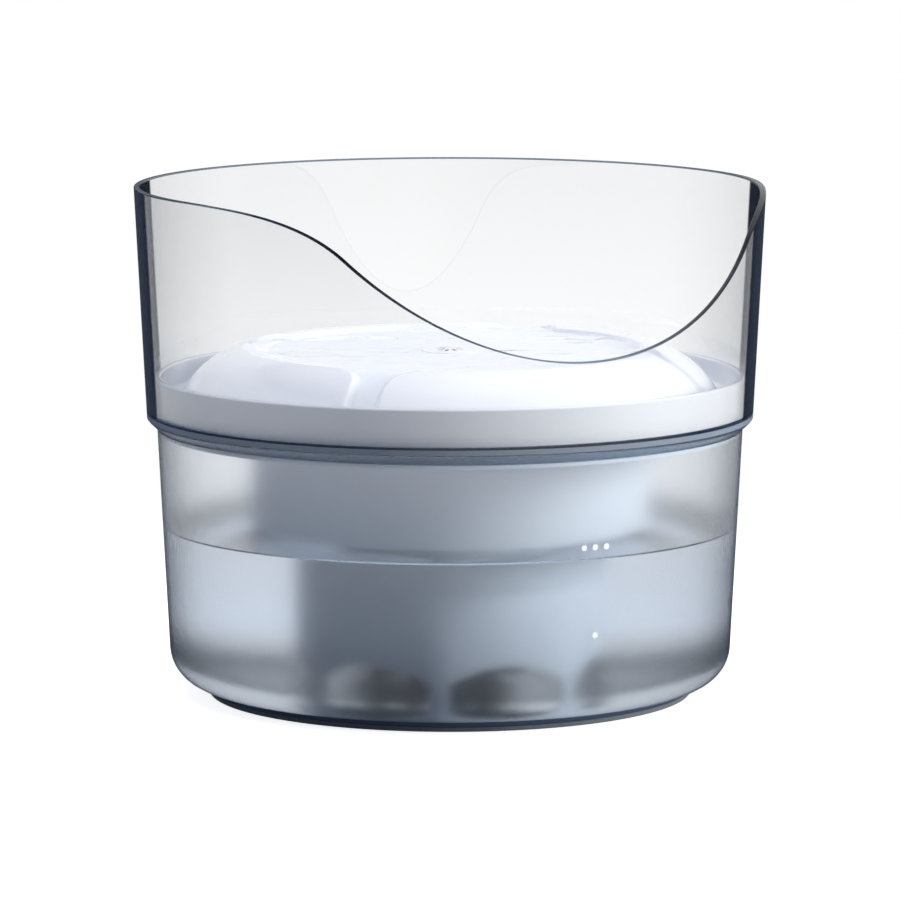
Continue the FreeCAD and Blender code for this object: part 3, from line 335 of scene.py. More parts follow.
@dataclass(frozen=True)
class ClearMoulding(MadeFinish):
    """See-through moulding or water, with light let straight through to what is inside.

    The rim colour is painted shade: a dark outline that takes over where the surface turns away, by the stops
    (turning, share), standing in for the darkening of clear walls seen edge-on. The fade darkens the moulding
    between two heights in metres, by at most its third number.
    """

    ior: float
    roughness: float
    tint: Colour
    shadow_tint: Colour
    absorbed: Colour = (1.0, 1.0, 1.0)
    density: float = 0.0
    rim: Optional[Colour] = None
    painted_rim_shade_stops: tuple[tuple[float, float], ...] = ((0.30, 0.0), (0.60, 0.17), (0.735, 0.22), (0.752, 1.0))
    fade: Optional[tuple[float, float, float]] = None
    clearness: float = 1.0
    ripple: float = 0.0
    ripple_scale: float = 30.0
    grain: float = 0.0
    grain_scale: float = 1800.0

    def dress(self, recipe: Recipe) -> None:
        """Put the nodes together."""
        cloud = recipe.noise(18.0, 3.0)
        normal = {}
        if self.ripple or self.grain:
            slow = recipe.noise(self.ripple_scale, 2.0, 0.45)
            fine = recipe.noise(self.grain_scale, 1.0)
            height = slow * self.ripple + fine * self.grain
            normal["Normal"] = recipe.bump(height, 1.0)
        body = recipe.mix(cloud, shade(self.tint, 0.985), self.tint)
        if self.fade:
            start, end, share = self.fade
            height = recipe.node("ShaderNodeSeparateXYZ", None, {0: recipe.place()}, "Z")
            climb = (height - start) * (1.0 / (end - start))
            body = recipe.mix(recipe.ramp(climb, (0.0, 0.0), (1.0, share)), body, (0.0, 0.0, 0.0))
        # Painted shade: the near-black rim colour takes over where the wall turns away, darkening the clear
        # walls' outlines.
        if self.rim:
            facing = recipe.node("ShaderNodeLayerWeight", None, {"Blend": 0.5}, "Facing")
            body = recipe.mix(recipe.ramp(facing, *self.painted_rim_shade_stops), body, self.rim)
        surface = recipe.principled(
            Base_Color=body,
            Roughness=self.roughness * (0.94 + cloud * 0.12),
            IOR=self.ior,
            Transmission_Weight=self.clearness,
            **normal,
        )
        lighting = recipe.ray("Shadow").at_least(recipe.ray("Diffuse"))
        volume = None
        if self.density:
            sockets = {"Color": self.absorbed, "Density": self.density}
            volume = recipe.node("ShaderNodeVolumeAbsorption", None, sockets)
        recipe.done(recipe.blend(lighting, surface, recipe.clear(self.shadow_tint)), volume)


@dataclass(frozen=True)
class TurnedSteel(MadeFinish):
    """Ground or polished steel with fine marks round its axis."""

    colour: Colour
    roughness: float

    def dress(self, recipe: Recipe) -> None:
        """Put the nodes together."""
        marks = recipe.noise(900.0, 3.0, 0.6, recipe.place((1.0, 12.0, 1.0)))
        recipe.finish(
            Base_Color=recipe.mix(marks, shade(self.colour, 0.9), self.colour),
            Metallic=1.0,
            Roughness=self.roughness + marks * 0.12,
            Normal=recipe.bump(marks, 0.000006),
        )


@dataclass(frozen=True)
class LaminatedCore(MadeFinish):
    """Stack of electrical steel sheets, seen on edge."""

    colour: Colour = (0.42, 0.43, 0.45)
    sheet_pace: float = 2000.0

    def dress(self, recipe: Recipe) -> None:
        """Put the nodes together."""
        sheets = recipe.bands("Y", self.sheet_pace, 0.0)
        rust = recipe.noise(160.0, 5.0, 0.7)
        seam = recipe.ramp(sheets, (0.0, 1.0), (0.22, 0.0))
        steel = recipe.mix(rust, shade(self.colour, 0.8), self.colour)
        recipe.finish(
            Base_Color=recipe.mix(seam, steel, (0.05, 0.05, 0.055)),
            Metallic=1.0 - seam * 0.7,
            Roughness=0.42 + rust * 0.2,
            Normal=recipe.bump(sheets, 0.00005),
        )


@dataclass(frozen=True)
class EnamelledWinding(MadeFinish):
    """Close turns of enamelled copper wire."""

    colour: Colour = (0.50, 0.20, 0.08)
    turn_pace: float = 2500.0

    def dress(self, recipe: Recipe) -> None:
        """Put the nodes together."""
        turns = recipe.bands("X", self.turn_pace, 0.4)
        tone = recipe.noise(220.0, 3.0)
        recipe.finish(
            Base_Color=recipe.mix(tone, shade(self.colour, 0.75), shade(self.colour, 1.25)),
            Metallic=0.75,
            Roughness=0.28 + tone * 0.1,
            Coat_Weight=0.6,
            Coat_Roughness=0.12,
            Normal=recipe.bump(turns, 0.0001),
        )


@dataclass(frozen=True)
class Ferrite(MadeFinish):
    """Pressed ferrite: dark grey, slightly sparkling, with chipped pores."""

    colour: Colour = (0.07, 0.07, 0.08)

    def dress(self, recipe: Recipe) -> None:
        """Put the nodes together."""
        grains = recipe.cells(2600.0)
        pores = recipe.noise(420.0, 4.0, 0.7)
        chip = recipe.ramp(pores, (0.28, 1.0), (0.36, 0.0))
        recipe.finish(
            Base_Color=recipe.mix(grains, shade(self.colour, 0.7), shade(self.colour, 1.6)),
            Metallic=0.25,
            Roughness=0.5 + chip * 0.3,
            Normal=recipe.bump(grains * 0.3 - chip, 0.00006),
        )


@dataclass(frozen=True)
class OpenCellFoam(MadeFinish):
    """Reticulated filter foam with visible pores, their depths darkened as painted shade."""

    colour: Colour
    pores_per_metre: float = 900.0

    def dress(self, recipe: Recipe) -> None:
        """Put the nodes together."""
        pores = recipe.cells(self.pores_per_metre, "DISTANCE_TO_EDGE")
        strut_and_pore_shade = recipe.ramp(pores, (0.05, 1.0), (0.16, 0.0))
        tone = recipe.noise(60.0, 3.0)
        body = recipe.mix(tone, shade(self.colour, 0.8), shade(self.colour, 1.3))
        recipe.finish(
            # The pores' centres are painted at a fifth of the foam's colour: painted shade in their depth;
            # the struts keep the foam's colour.
            Base_Color=recipe.mix(strut_and_pore_shade, shade(self.colour, 0.2), body),
            Roughness=0.92,
            Normal=recipe.bump(strut_and_pore_shade, 0.0006),
        )


@dataclass(frozen=True)
class Granules(MadeFinish):
    """Bed of activated carbon grains."""

    colour: Colour = (0.022, 0.022, 0.024)

    def dress(self, recipe: Recipe) -> None:
        """Put the nodes together."""
        grains = recipe.cells(620.0)
        small = recipe.cells(1500.0)
        tone = recipe.cells(620.0, output="Color")
        recipe.finish(
            Base_Color=recipe.mix(tone, shade(self.colour, 0.6), shade(self.colour, 2.4)),
            Roughness=0.55 + small * 0.3,
            Normal=recipe.bump(grains * 0.8 + small * 0.3, 0.0009),
        )


@dataclass(frozen=True)
class NeedledFleece(MadeFinish):
    """White needled polyester fleece with tangled fibres."""

    colour: Colour = (0.86, 0.86, 0.84)

    def dress(self, recipe: Recipe) -> None:
        """Put the nodes together."""
        long_way = recipe.noise(900.0, 4.0, 0.7, recipe.place((1.0, 6.0, 1.0), (0.0, 0.0, 0.6)))
        cross_way = recipe.noise(900.0, 4.0, 0.7, recipe.place((6.0, 1.0, 1.0), (0.0, 0.0, -0.4)))
        fibres = long_way.at_least(cross_way)
        cloud = recipe.noise(55.0, 3.0)
        tone = recipe.mix(cloud, shade(self.colour, 0.9), self.colour)
        recipe.finish(
            Base_Color=recipe.mix(fibres, shade(self.colour, 0.72), tone),
            Roughness=0.95,
            Sheen_Weight=0.4,
            Sheen_Roughness=0.6,
            Normal=recipe.bump(fibres, 0.0005),
        )


class Finish(Enum):
    """Every finish on the fountain, under the name of its material slot where it has one."""

    # The tank's rim colour is painted shade: a dark outline where its frosted wall turns away.
    FROSTED_TANK = ClearMoulding(
        "frosted_tank", ior=1.45, roughness=0.2, tint=(0.985, 0.99, 1.0), shadow_tint=(0.87, 0.91, 0.95),
        absorbed=(0.0, 0.25, 0.5), density=14.0, grain=0.00003, grain_scale=900.0,
        rim=(0.02, 0.035, 0.06), painted_rim_shade_stops=((0.55, 0.0), (0.82, 0.10), (0.90, 0.6)),
    )
    # Darker copies of the guard's clear moulding, painted shade: near black on the cut edge and the band at
    # the foot, dim on the ledge.
    GUARD_EDGE = ClearMoulding(
        "smoke_guard_edge_painted_shade", ior=1.49, roughness=0.05, tint=(0.03, 0.05, 0.09), shadow_tint=(0.3, 0.36, 0.45),
    )
    GUARD_LEDGE = ClearMoulding(
        "smoke_guard_ledge_painted_shade", ior=1.49, roughness=0.2, tint=(0.34, 0.40, 0.48), shadow_tint=(0.8, 0.85, 0.9),
        clearness=0.5,
    )
    # The guard's rim colour is painted shade: a dark outline where its clear wall turns away.
    SMOKE_GUARD = ClearMoulding(
        "smoke_guard", ior=1.49, roughness=0.012, tint=(1.0, 1.0, 1.0), shadow_tint=(0.93, 0.94, 0.95),
        absorbed=(0.0, 0.25, 0.5), density=7.0, ripple=0.00004, ripple_scale=14.0,
        rim=(0.0004, 0.0007, 0.0015), fade=(0.17, 0.26, 0.08),
    )
    WHITE_GLOSS = MouldedPlastic(
        "white_gloss", (0.775, 0.785, 0.81), 0.16, 500.0, 0.000004, coat=0.5, variation=0.012
    )
    WHITE_MATTE = MouldedPlastic("white_matte", (0.78, 0.79, 0.80), 0.42, 1400.0, variation=0.02)
    NAVY_PLASTIC = MouldedPlastic("navy_plastic", (0.048, 0.064, 0.10), 0.38, 1600.0, 0.00003, variation=0.08)
    GREY_RUBBER = MouldedRubber("grey_rubber", (0.12, 0.14, 0.155), 0.72)
    BLACK_RUBBER = MouldedRubber("black_rubber", (0.02, 0.02, 0.022), 0.62)
    BLACK_PLASTIC = MouldedPlastic(
        "black_plastic", (0.022, 0.023, 0.026), 0.45, 1800.0, 0.00004, variation=0.15
    )
    POTTING_RESIN = MouldedPlastic("potting_resin", (0.012, 0.012, 0.013), 0.22, 60.0, 0.0003, variation=0.2)
    CORE_STEEL = LaminatedCore("core_steel")
    WINDING = EnamelledWinding("winding")
    MAGNET = Ferrite("magnet")
    SHAFT_STEEL = TurnedSteel("shaft_steel", (0.68, 0.69, 0.71), 0.12)
    CLEAR_SILICONE = MouldedRubber("clear_silicone", (0.55, 0.56, 0.58), 0.45, bloom=0.1)
    BLACK_FOAM = OpenCellFoam("black_foam", (0.03, 0.03, 0.033))
    CARBON = Granules("carbon")
    FLEECE = NeedledFleece("fleece")
    POOL_WATER = ClearMoulding(
        "pool_water", ior=1.333, roughness=0.0, tint=(0.985, 0.992, 1.0), shadow_tint=(0.97, 0.98, 0.99),
        ripple=0.008, ripple_scale=20.0,
    )
    TANK_WATER = ClearMoulding(
        "tank_water", ior=1.333, roughness=0.02, tint=(0.97, 0.975, 0.98), shadow_tint=(0.95, 0.96, 0.97),
        absorbed=(0.0, 0.15, 0.3), density=1.0,
    )
    LEVEL_INK = MouldedPlastic("level_ink", (0.86, 0.88, 0.90), 0.5, 2500.0, 0.00001)


MATERIALS: dict[Finish, bpy.types.Material] = {}


def material(finish: Finish) -> bpy.types.Material:
    """The material of a finish, made once."""
    if finish not in MATERIALS:
        MATERIALS[finish] = finish.value.make()
    return MATERIALS[finish]


# ---------------------------------------------------------------- mesh work


def deselect() -> None:
    """Deselect everything, so that an operator acts only on what is chosen next."""
    bpy.ops.object.select_all(action="DESELECT")


def pick(piece: Piece) -> None:
    """Make a piece the only selected one."""
    deselect()
    piece.select_set(True)
    bpy.context.view_layer.objects.active = piece


@contextmanager
def editing(piece: Piece, mode: str = "VERT") -> Iterator[None]:
    """Work on a piece in edit mode with everything on it selected."""
    pick(piece)
    bpy.ops.object.mode_set(mode="EDIT")
    bpy.ops.mesh.select_mode(type=mode)
    bpy.ops.mesh.select_all(action="SELECT")
    yield
    bpy.ops.object.mode_set(mode="OBJECT")


def choose_vertices(piece: Piece, test: Callable[[Vector], bool]) -> None:
    """Select only the vertices that pass a test, while the piece is in object mode."""
    mesh = piece.data
    mesh.polygons.foreach_set("select", [False] * len(mesh.polygons))
    mesh.edges.foreach_set("select", [False] * len(mesh.edges))
    mesh.vertices.foreach_set("select", [bool(test(vertex.co)) for vertex in mesh.vertices])


def read_vertices(piece: Piece) -> Row:
    """The places of a piece's vertices in millimetres, one row each."""
    spots = np.empty(len(piece.data.vertices) * 3)
    piece.data.vertices.foreach_get("co", spots)
    return spots.reshape(-1, 3) / MM


def write_vertices(piece: Piece, spots: Row) -> None:
    """Move a piece's vertices to these places in millimetres."""
    piece.data.vertices.foreach_set("co", (spots * MM).ravel())
    piece.data.update()


def smooth(piece: Piece, angle: float = 32.0) -> None:
    """Shade a piece smooth, with creases past this angle."""
    pick(piece)
    bpy.ops.object.shade_smooth_by_angle(angle=math.radians(angle))


def apply_modifier(piece: Piece, kind: str, **settings: object) -> None:
    """Add a modifier with these settings and apply it."""
    pick(piece)
    modifier = piece.modifiers.new(kind.lower(), kind)
    for word, value in settings.items():
        setattr(modifier, word, value)
    bpy.ops.object.modifier_apply(modifier=modifier.name)


def rounded(corners: Sequence[Corner], steps: int = 5) -> list[tuple[float, float]]:
    """Round the corners of a closed outline that have a third number, their radius.

    A holding point on each side of a rounding keeps the shading of long walls true.

    Args:
        corners: Corners as (across, up) or (across, up, radius), in millimetres.
        steps: Straight runs in each rounding.

    Returns:
        The outline's points.
    """
    points = []
    for index, corner in enumerate(corners):
        here = Vector(corner[:2])
        if len(corner) == 2:
            points.append(tuple(here))
            continue
        before = (Vector(corners[index - 1][:2]) - here).normalized()
        after = (Vector(corners[(index + 1) % len(corners)][:2]) - here).normalized()
        half = before.angle(after) / 2
        centre = here + (before + after).normalized() * corner[2] / math.sin(half)
        reach, hold = corner[2] / math.tan(half), 0.12 * corner[2] + 0.02
        start, end = here + before * reach - centre, here + after * reach - centre
        points.append(tuple(here + before * (reach + hold)))
        for step in range(steps + 1):
            swing = start.slerp(end, step / steps)
            points.append(tuple(centre + swing.normalized() * corner[2]))
        points.append(tuple(here + after * (reach + hold)))
    return points


def lathe(name: str, profile: Sequence[tuple[float, float]], base: float, steps: int = 256) -> Piece:
    """Spin a closed outline round the upright axis.

    Args:
        name: The piece's name.
        profile: The outline's points as (radius, height) in millimetres.
        base: Height of the outline's zero above the table.
        steps: Number of steps in the turn.

    Returns:
        The closed piece, at the origin.
    """
    deselect()
    bpy.ops.mesh.primitive_circle_add(vertices=len(profile), radius=1.0)
    piece = bpy.context.object
    piece.name = piece.data.name = name
    for vertex, (radius, height) in zip(piece.data.vertices, profile):
        vertex.co = (radius * MM, 0.0, (base + height) * MM)
    on_axis = [vertex.co.x < 1e-9 for vertex in piece.data.vertices]
    if sum(on_axis) > 1:
        choose_vertices(piece, lambda spot: spot.x < 1e-9)
        pick(piece)
        bpy.ops.object.mode_set(mode="EDIT")
        bpy.ops.mesh.select_mode(type="EDGE")
        bpy.ops.mesh.delete(type="EDGE")
        bpy.ops.object.mode_set(mode="OBJECT")
    apply_modifier(piece, "SCREW", angle=math.tau, steps=steps, render_steps=steps, axis="Z")
    with editing(piece):
        bpy.ops.mesh.remove_doubles(threshold=2e-6)
        bpy.ops.mesh.normals_make_consistent(inside=False)
    return piece


def cut_away(piece: Piece, tool: Piece) -> None:
    """Cut a tool's shape out of a piece and remove the tool."""
    apply_modifier(piece, "BOOLEAN", operation="DIFFERENCE", solver="MANIFOLD", object=tool)
    bpy.data.objects.remove(tool)


def block(low: Corner, high: Corner, name: str = "tool") -> Piece:
    """A box between two corners in millimetres."""
    deselect()
    bpy.ops.mesh.primitive_cube_add(size=1.0)
    piece = bpy.context.object
    piece.name = piece.data.name = name
    for vertex in piece.data.vertices:
        vertex.co = [(a if part < 0 else b) * MM for part, a, b in zip(vertex.co, low, high)]
    return piece


def refined(node: str, name: str, bevel: float, crease: float = 38.0) -> Piece:
    """Copy a CAD node, merge it, round its edges a little and shade it smooth.

    Args:
        node: The CAD node.
        name: The new piece's name.
        bevel: Width of the rounding in millimetres.
        crease: Edges sharper than this angle are rounded.

    Returns:
        The new piece.
    """
    piece = bpy.data.objects.new(name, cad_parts[node].data.copy())
    piece.data.name = name
    piece.data.materials.clear()
    bpy.context.scene.collection.objects.link(piece)
    pick(piece)
    bpy.ops.mesh.customdata_custom_splitnormals_clear()
    with editing(piece):
        bpy.ops.mesh.remove_doubles(threshold=4e-6)
        bpy.ops.mesh.dissolve_limited(angle_limit=math.radians(0.6))
    if bevel:
        apply_modifier(
            piece, "BEVEL", width=bevel * MM, segments=2, limit_method="ANGLE",
            angle_limit=math.radians(crease), harden_normals=False, use_clamp_overlap=True,
        )
    smooth(piece)
    return piece


@dataclass
class Assembly:
    """What every sub-assembly shares: a body to ride on."""

    body: str

    def add(self, piece: Piece, finish: Finish, *nodes: str, slot: Optional[str] = None) -> Piece:
        """Dress a piece, let it ride on the body and let it stand for CAD nodes.

        Args:
            piece: The finished mesh.
            finish: Its finish.
            *nodes: The CAD nodes that it replaces.
            slot: The record's slot, where that isn't the finish's own name; not used.

        Returns:
            The same piece.
        """
        piece.data.materials.clear()
        piece.data.materials.append(material(finish))
        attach(piece, self.body)
        if nodes:
            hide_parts(*nodes)
        log.info("%s on %s, %d faces", piece.name, self.body, len(piece.data.polygons))
        return piece

    def add_refined(self, finish: Finish, bevel: float, *nodes: str) -> None:
        """Replace CAD nodes by rounded copies of themselves in one finish."""
        for node in nodes:
            self.add(refined(node, f"{node}_finished", bevel), finish, node)


# ---------------------------------------------------------------- sub-assemblies


@dataclass
class Foot(Assembly):
    """Navy base ring and the anti-slip ring under it."""

    body: str = "tank"
    ring_outer: float = 129.3
    ring_inner: float = 111.3
    ring_seat: float = 2.5
    ring_height: float = 2.8
    pad_outer: float = 128.7
    pad_inner: float = 117.7
    groove_count: int = 3
    groove_floor: float = 0.5
    groove_mouth: float = 0.9
    groove_depth: float = 0.5

    def build(self) -> None:
        """Make both rings, the rubber one with grooves under it."""
        navy = lathe("base_ring_turned", rounded([
            (self.ring_inner, 0.0, 0.4), (self.ring_outer, 0.0, 0.5),
            (self.ring_outer, self.ring_height, 0.25), (self.ring_inner, self.ring_height, 0.25),
        ]), self.ring_seat)
        smooth(navy)
        self.add(navy, Finish.NAVY_PLASTIC, "base_ring")
        corners: list[Corner] = [(self.pad_inner, 0.0, 0.5)]
        pitch = (self.pad_outer - self.pad_inner) / (self.groove_count + 1)
        for groove in range(self.groove_count):
            middle = self.pad_inner + pitch * (groove + 1)
            corners += [
                (middle - self.groove_mouth, 0.0, 0.2), (middle - self.groove_floor, self.groove_depth, 0.15),
                (middle + self.groove_floor, self.groove_depth, 0.15), (middle + self.groove_mouth, 0.0, 0.2),
            ]
        corners += [
            (self.pad_outer, 0.0, 0.7), (self.pad_outer, self.ring_seat, 0.15),
            (self.pad_inner, self.ring_seat, 0.15),
        ]
        rubber = lathe("anti_slip_ring_turned", rounded(corners, 3), 0.0)
        smooth(rubber)
        self.add(rubber, Finish.GREY_RUBBER, "anti_slip_ring")


@dataclass
class Tank(Assembly):
    """Frosted reservoir with its level dots and the water stored in it."""

    body: str = "tank"
    seat: float = 5.3
    wall: float = 3.0
    height: float = 142.2
    shoulder: float = 137.2
    top_radius: float = 155.6
    rim_radius: float = 161.0
    draft: float = 2.95
    corner: float = 20.0
    rim_wall: float = 3.6
    rib_outer: float = 63.8
    rib_inner: float = 61.8
    rib_top: float = 5.5
    water_level: float = 90.0
    lap: float = 0.06
    notch_width: float = 5.0
    notch_depth: float = 4.8
    dot_radius: float = 1.6
    dot_height: float = 0.14
    dots: tuple[tuple[float, float], ...] = ((97.0, 1.1), (97.0, 3.5), (97.0, 6.0), (51.0, 4.0))

    def outside(self, height: float) -> float:
        """Outer radius at this height above the tank's seat."""
        return self.top_radius - (self.shoulder - height) * math.tan(math.radians(self.draft))

    def shell(self) -> Piece:
        """The tapered shell with its flared rim, locating rib and cord notch."""
        inner_foot = self.outside(self.wall) - self.wall
        profile = rounded([
            (0.0, 0.0), (self.outside(0.0), 0.0, self.corner), (self.top_radius, self.shoulder, 2.0),
            (self.rim_radius, self.height, 0.5), (self.rim_radius - self.rim_wall, self.height, 0.5),
            (self.top_radius - self.wall, self.shoulder, 2.0),
            (inner_foot, self.wall, self.corner - self.wall), (self.rib_outer, self.wall, 0.4),
            (self.rib_outer, self.rib_top, 0.5), (self.rib_inner, self.rib_top, 0.5),
            (self.rib_inner, self.wall, 0.4), (0.0, self.wall),
        ], 10)
        piece = lathe("tank_shell", profile, self.seat, 320)
        top, half = self.seat + self.height, self.notch_width / 2
        cut_away(piece, block((-half, 140.0, top - self.notch_depth), (half, 175.0, top + 3.0)))
        smooth(piece)
        return piece

    def dot(self, number: int, height: float, azimuth: float) -> Piece:
        """One printed level dot, lying on the tapered wall.

        Args:
            number: Counts the dots.
            height: Height above the table.
            azimuth: Degrees to the right of the front.

        Returns:
            The dot.
        """
        profile = rounded([
            (0.0, 0.0), (self.dot_radius, 0.0, 0.02), (self.dot_radius, self.dot_height, 0.06),
            (0.0, self.dot_height),
        ], 3)
        piece = lathe(f"level_dot_{number}", profile, 0.0, 32)
        radius = (self.outside(height - self.seat) - 0.02) * MM
        turn = math.radians(azimuth)
        place = Vector((math.sin(turn) * radius, -math.cos(turn) * radius, height * MM))
        lean = Euler((math.radians(90 + self.draft), 0.0, turn)).to_matrix().to_4x4()
        piece.data.transform(Matrix.Translation(place) @ lean)
        smooth(piece)
        return piece

    def water(self) -> Piece:
        """The stored water, which laps into the walls and rises a little where it meets them."""
        level = self.water_level - self.seat
        reach = self.outside(level) - self.wall + self.lap
        foot = self.outside(self.wall) - self.wall + self.lap
        profile = rounded([
            (0.0, self.wall - self.lap), (foot, self.wall - self.lap, self.corner - self.wall),
            (reach, level + 1.2), (reach - 0.8, level + 0.25), (reach - 2.4, level), (0.0, level),
        ], 10)
        piece = lathe("tank_water", profile, self.seat, 256)
        smooth(piece)
        return piece

    def build(self) -> None:
        """Make the tank, its water and its dots."""
        self.add(self.shell(), Finish.FROSTED_TANK, "reservoir_tank")
        self.add(self.water(), Finish.TANK_WATER, slot="smoke_guard")
        for number, (height, azimuth) in enumerate(self.dots, 1):
            self.add(self.dot(number, height, azimuth), Finish.LEVEL_INK, slot="white_matte")


@dataclass
class SplashGuard(Assembly):
    """Clear shell that widens upwards and dips in a wave at the front."""

    body: str = "guard"
    seat: float = 147.5
    height: float = 123.2
    foot_radius: float = 161.0
    draft: float = 2.93
    wall: float = 3.4
    ledge: float = 3.7
    ledge_inner: float = 149.8
    collar_outer: float = 152.3
    collar_drop: float = 5.0
    line_low: float = 0.7
    line_high: float = 0.3
    notch_width: float = 5.0
    low_height: float = 46.7
    dip_radius: float = 152.0
    crest_radius: float = 70.0

    def wave(self, across: float) -> float:
        """Height of the cut edge above the seat at this distance from the middle."""
        rise = self.height - self.low_height
        both = self.dip_radius + self.crest_radius
        reach = math.sqrt(2 * rise * both - rise * rise)
        across = abs(across)
        if across >= reach:
            return self.height
        if across <= reach * self.dip_radius / both:
            return self.low_height + self.dip_radius - math.sqrt(self.dip_radius**2 - across**2)
        return self.height - self.crest_radius + math.sqrt(self.crest_radius**2 - (reach - across) ** 2)

    def shell(self) -> Piece:
        """Spin the shell, bring its upper edge down to the wave at the front and cut the cord's notch."""
        slope = math.tan(math.radians(self.draft))
        top = self.foot_radius + self.height * slope
        inner = self.foot_radius + self.ledge * slope - self.wall
        line = (self.ledge - self.line_low, self.ledge + self.line_high)
        profile = rounded([
            (self.ledge_inner, -self.collar_drop, 0.4), (self.collar_outer, -self.collar_drop, 0.4),
            (self.collar_outer, 0.0), (self.foot_radius, 0.0, 0.5),
            *((self.foot_radius + up * slope, up) for up in line),
            (top, self.height, 0.7), (top - self.wall, self.height, 0.7), (inner, self.ledge, 1.2),
            (self.ledge_inner, self.ledge, 0.5),
        ], 6)
        piece = lathe("splash_guard_shell", profile, self.seat, 640)
        spots = read_vertices(piece)
        for index in np.flatnonzero((spots[:, 2] > self.seat + self.height - 2.0) & (spots[:, 1] < 0)):
            x, y, z = spots[index]
            radius, drop, share = math.hypot(x, y), 0.0, 1.0
            for _ in range(8):
                share = (radius - drop * slope) / radius
                drop = self.height - self.wave(x * share)
            spots[index] = (x * share, y * share, z - drop)
        write_vertices(piece, spots)
        half = self.notch_width / 2
        cut_away(piece, block((-half, 140.0, self.seat - 7.0), (half, 152.6, self.seat)))
        smooth(piece)
        return piece

    def build(self) -> None:
        """Make the guard, with its cut edge, the band round its foot and its ledge in darker copies of its
        clear moulding: painted shade.
        """
        piece = self.add(self.shell(), Finish.SMOKE_GUARD, "splash_guard")
        piece.data.materials.append(material(Finish.GUARD_EDGE))
        piece.data.materials.append(material(Finish.GUARD_LEDGE))
        # Painted shade: the band round the foot and the small faces of the cut edge get the near-black copy,
        # and the ledge gets the dim one.
        for face in piece.data.polygons:
            up = face.center.z / MM - self.seat
            outside = math.hypot(face.center.x, face.center.y) > (self.foot_radius - 1.0) * MM
            line = outside and self.ledge - self.line_low < up < self.ledge + self.line_high
            edge = up > 20.0 and face.area < 20e-6
            face.material_index = 1 if line or edge else 2 if up < self.ledge + 0.1 else 0


def smooth_min(first: Row, second: Row, width: float) -> Row:
    """The smaller of two heights, rounded where they meet."""
    gap = np.maximum(width - np.abs(first - second), 0.0) / width
    return np.minimum(first, second) - gap * gap * width / 4


def smooth_max(first: Row, second: Row, width: float) -> Row:
    """The larger of two heights, rounded where they meet."""
    return -smooth_min(-first, -second, width)


def between(stations: Sequence[tuple[float, float]], place: Row) -> Row:
    """Read a table of (place, value), running straight between its rows."""
    places, values = zip(*stations)
    return np.interp(place, places, values)


def swell(x: Row, y: Row, length: float, seed: int, waves: int = 9) -> Row:
    """Uneven field between about -1 and 1, as crossing waves make on water.

    Args:
        x: Places across.
        y: Places fore and aft.
        length: Middle length of the waves, in the same unit.
        seed: Picks another field.
        waves: How many waves cross.

    Returns:
        The field at each place.
    """
    dice = np.random.default_rng(seed)
    total = np.zeros_like(x)
    for _ in range(waves):
        turn, phase = dice.uniform(0.0, math.tau, 2)
        pace = math.tau / (length * dice.uniform(0.6, 1.6))
        total += np.sin((x * math.cos(turn) + y * math.sin(turn)) * pace + phase)
    return total / math.sqrt(waves)


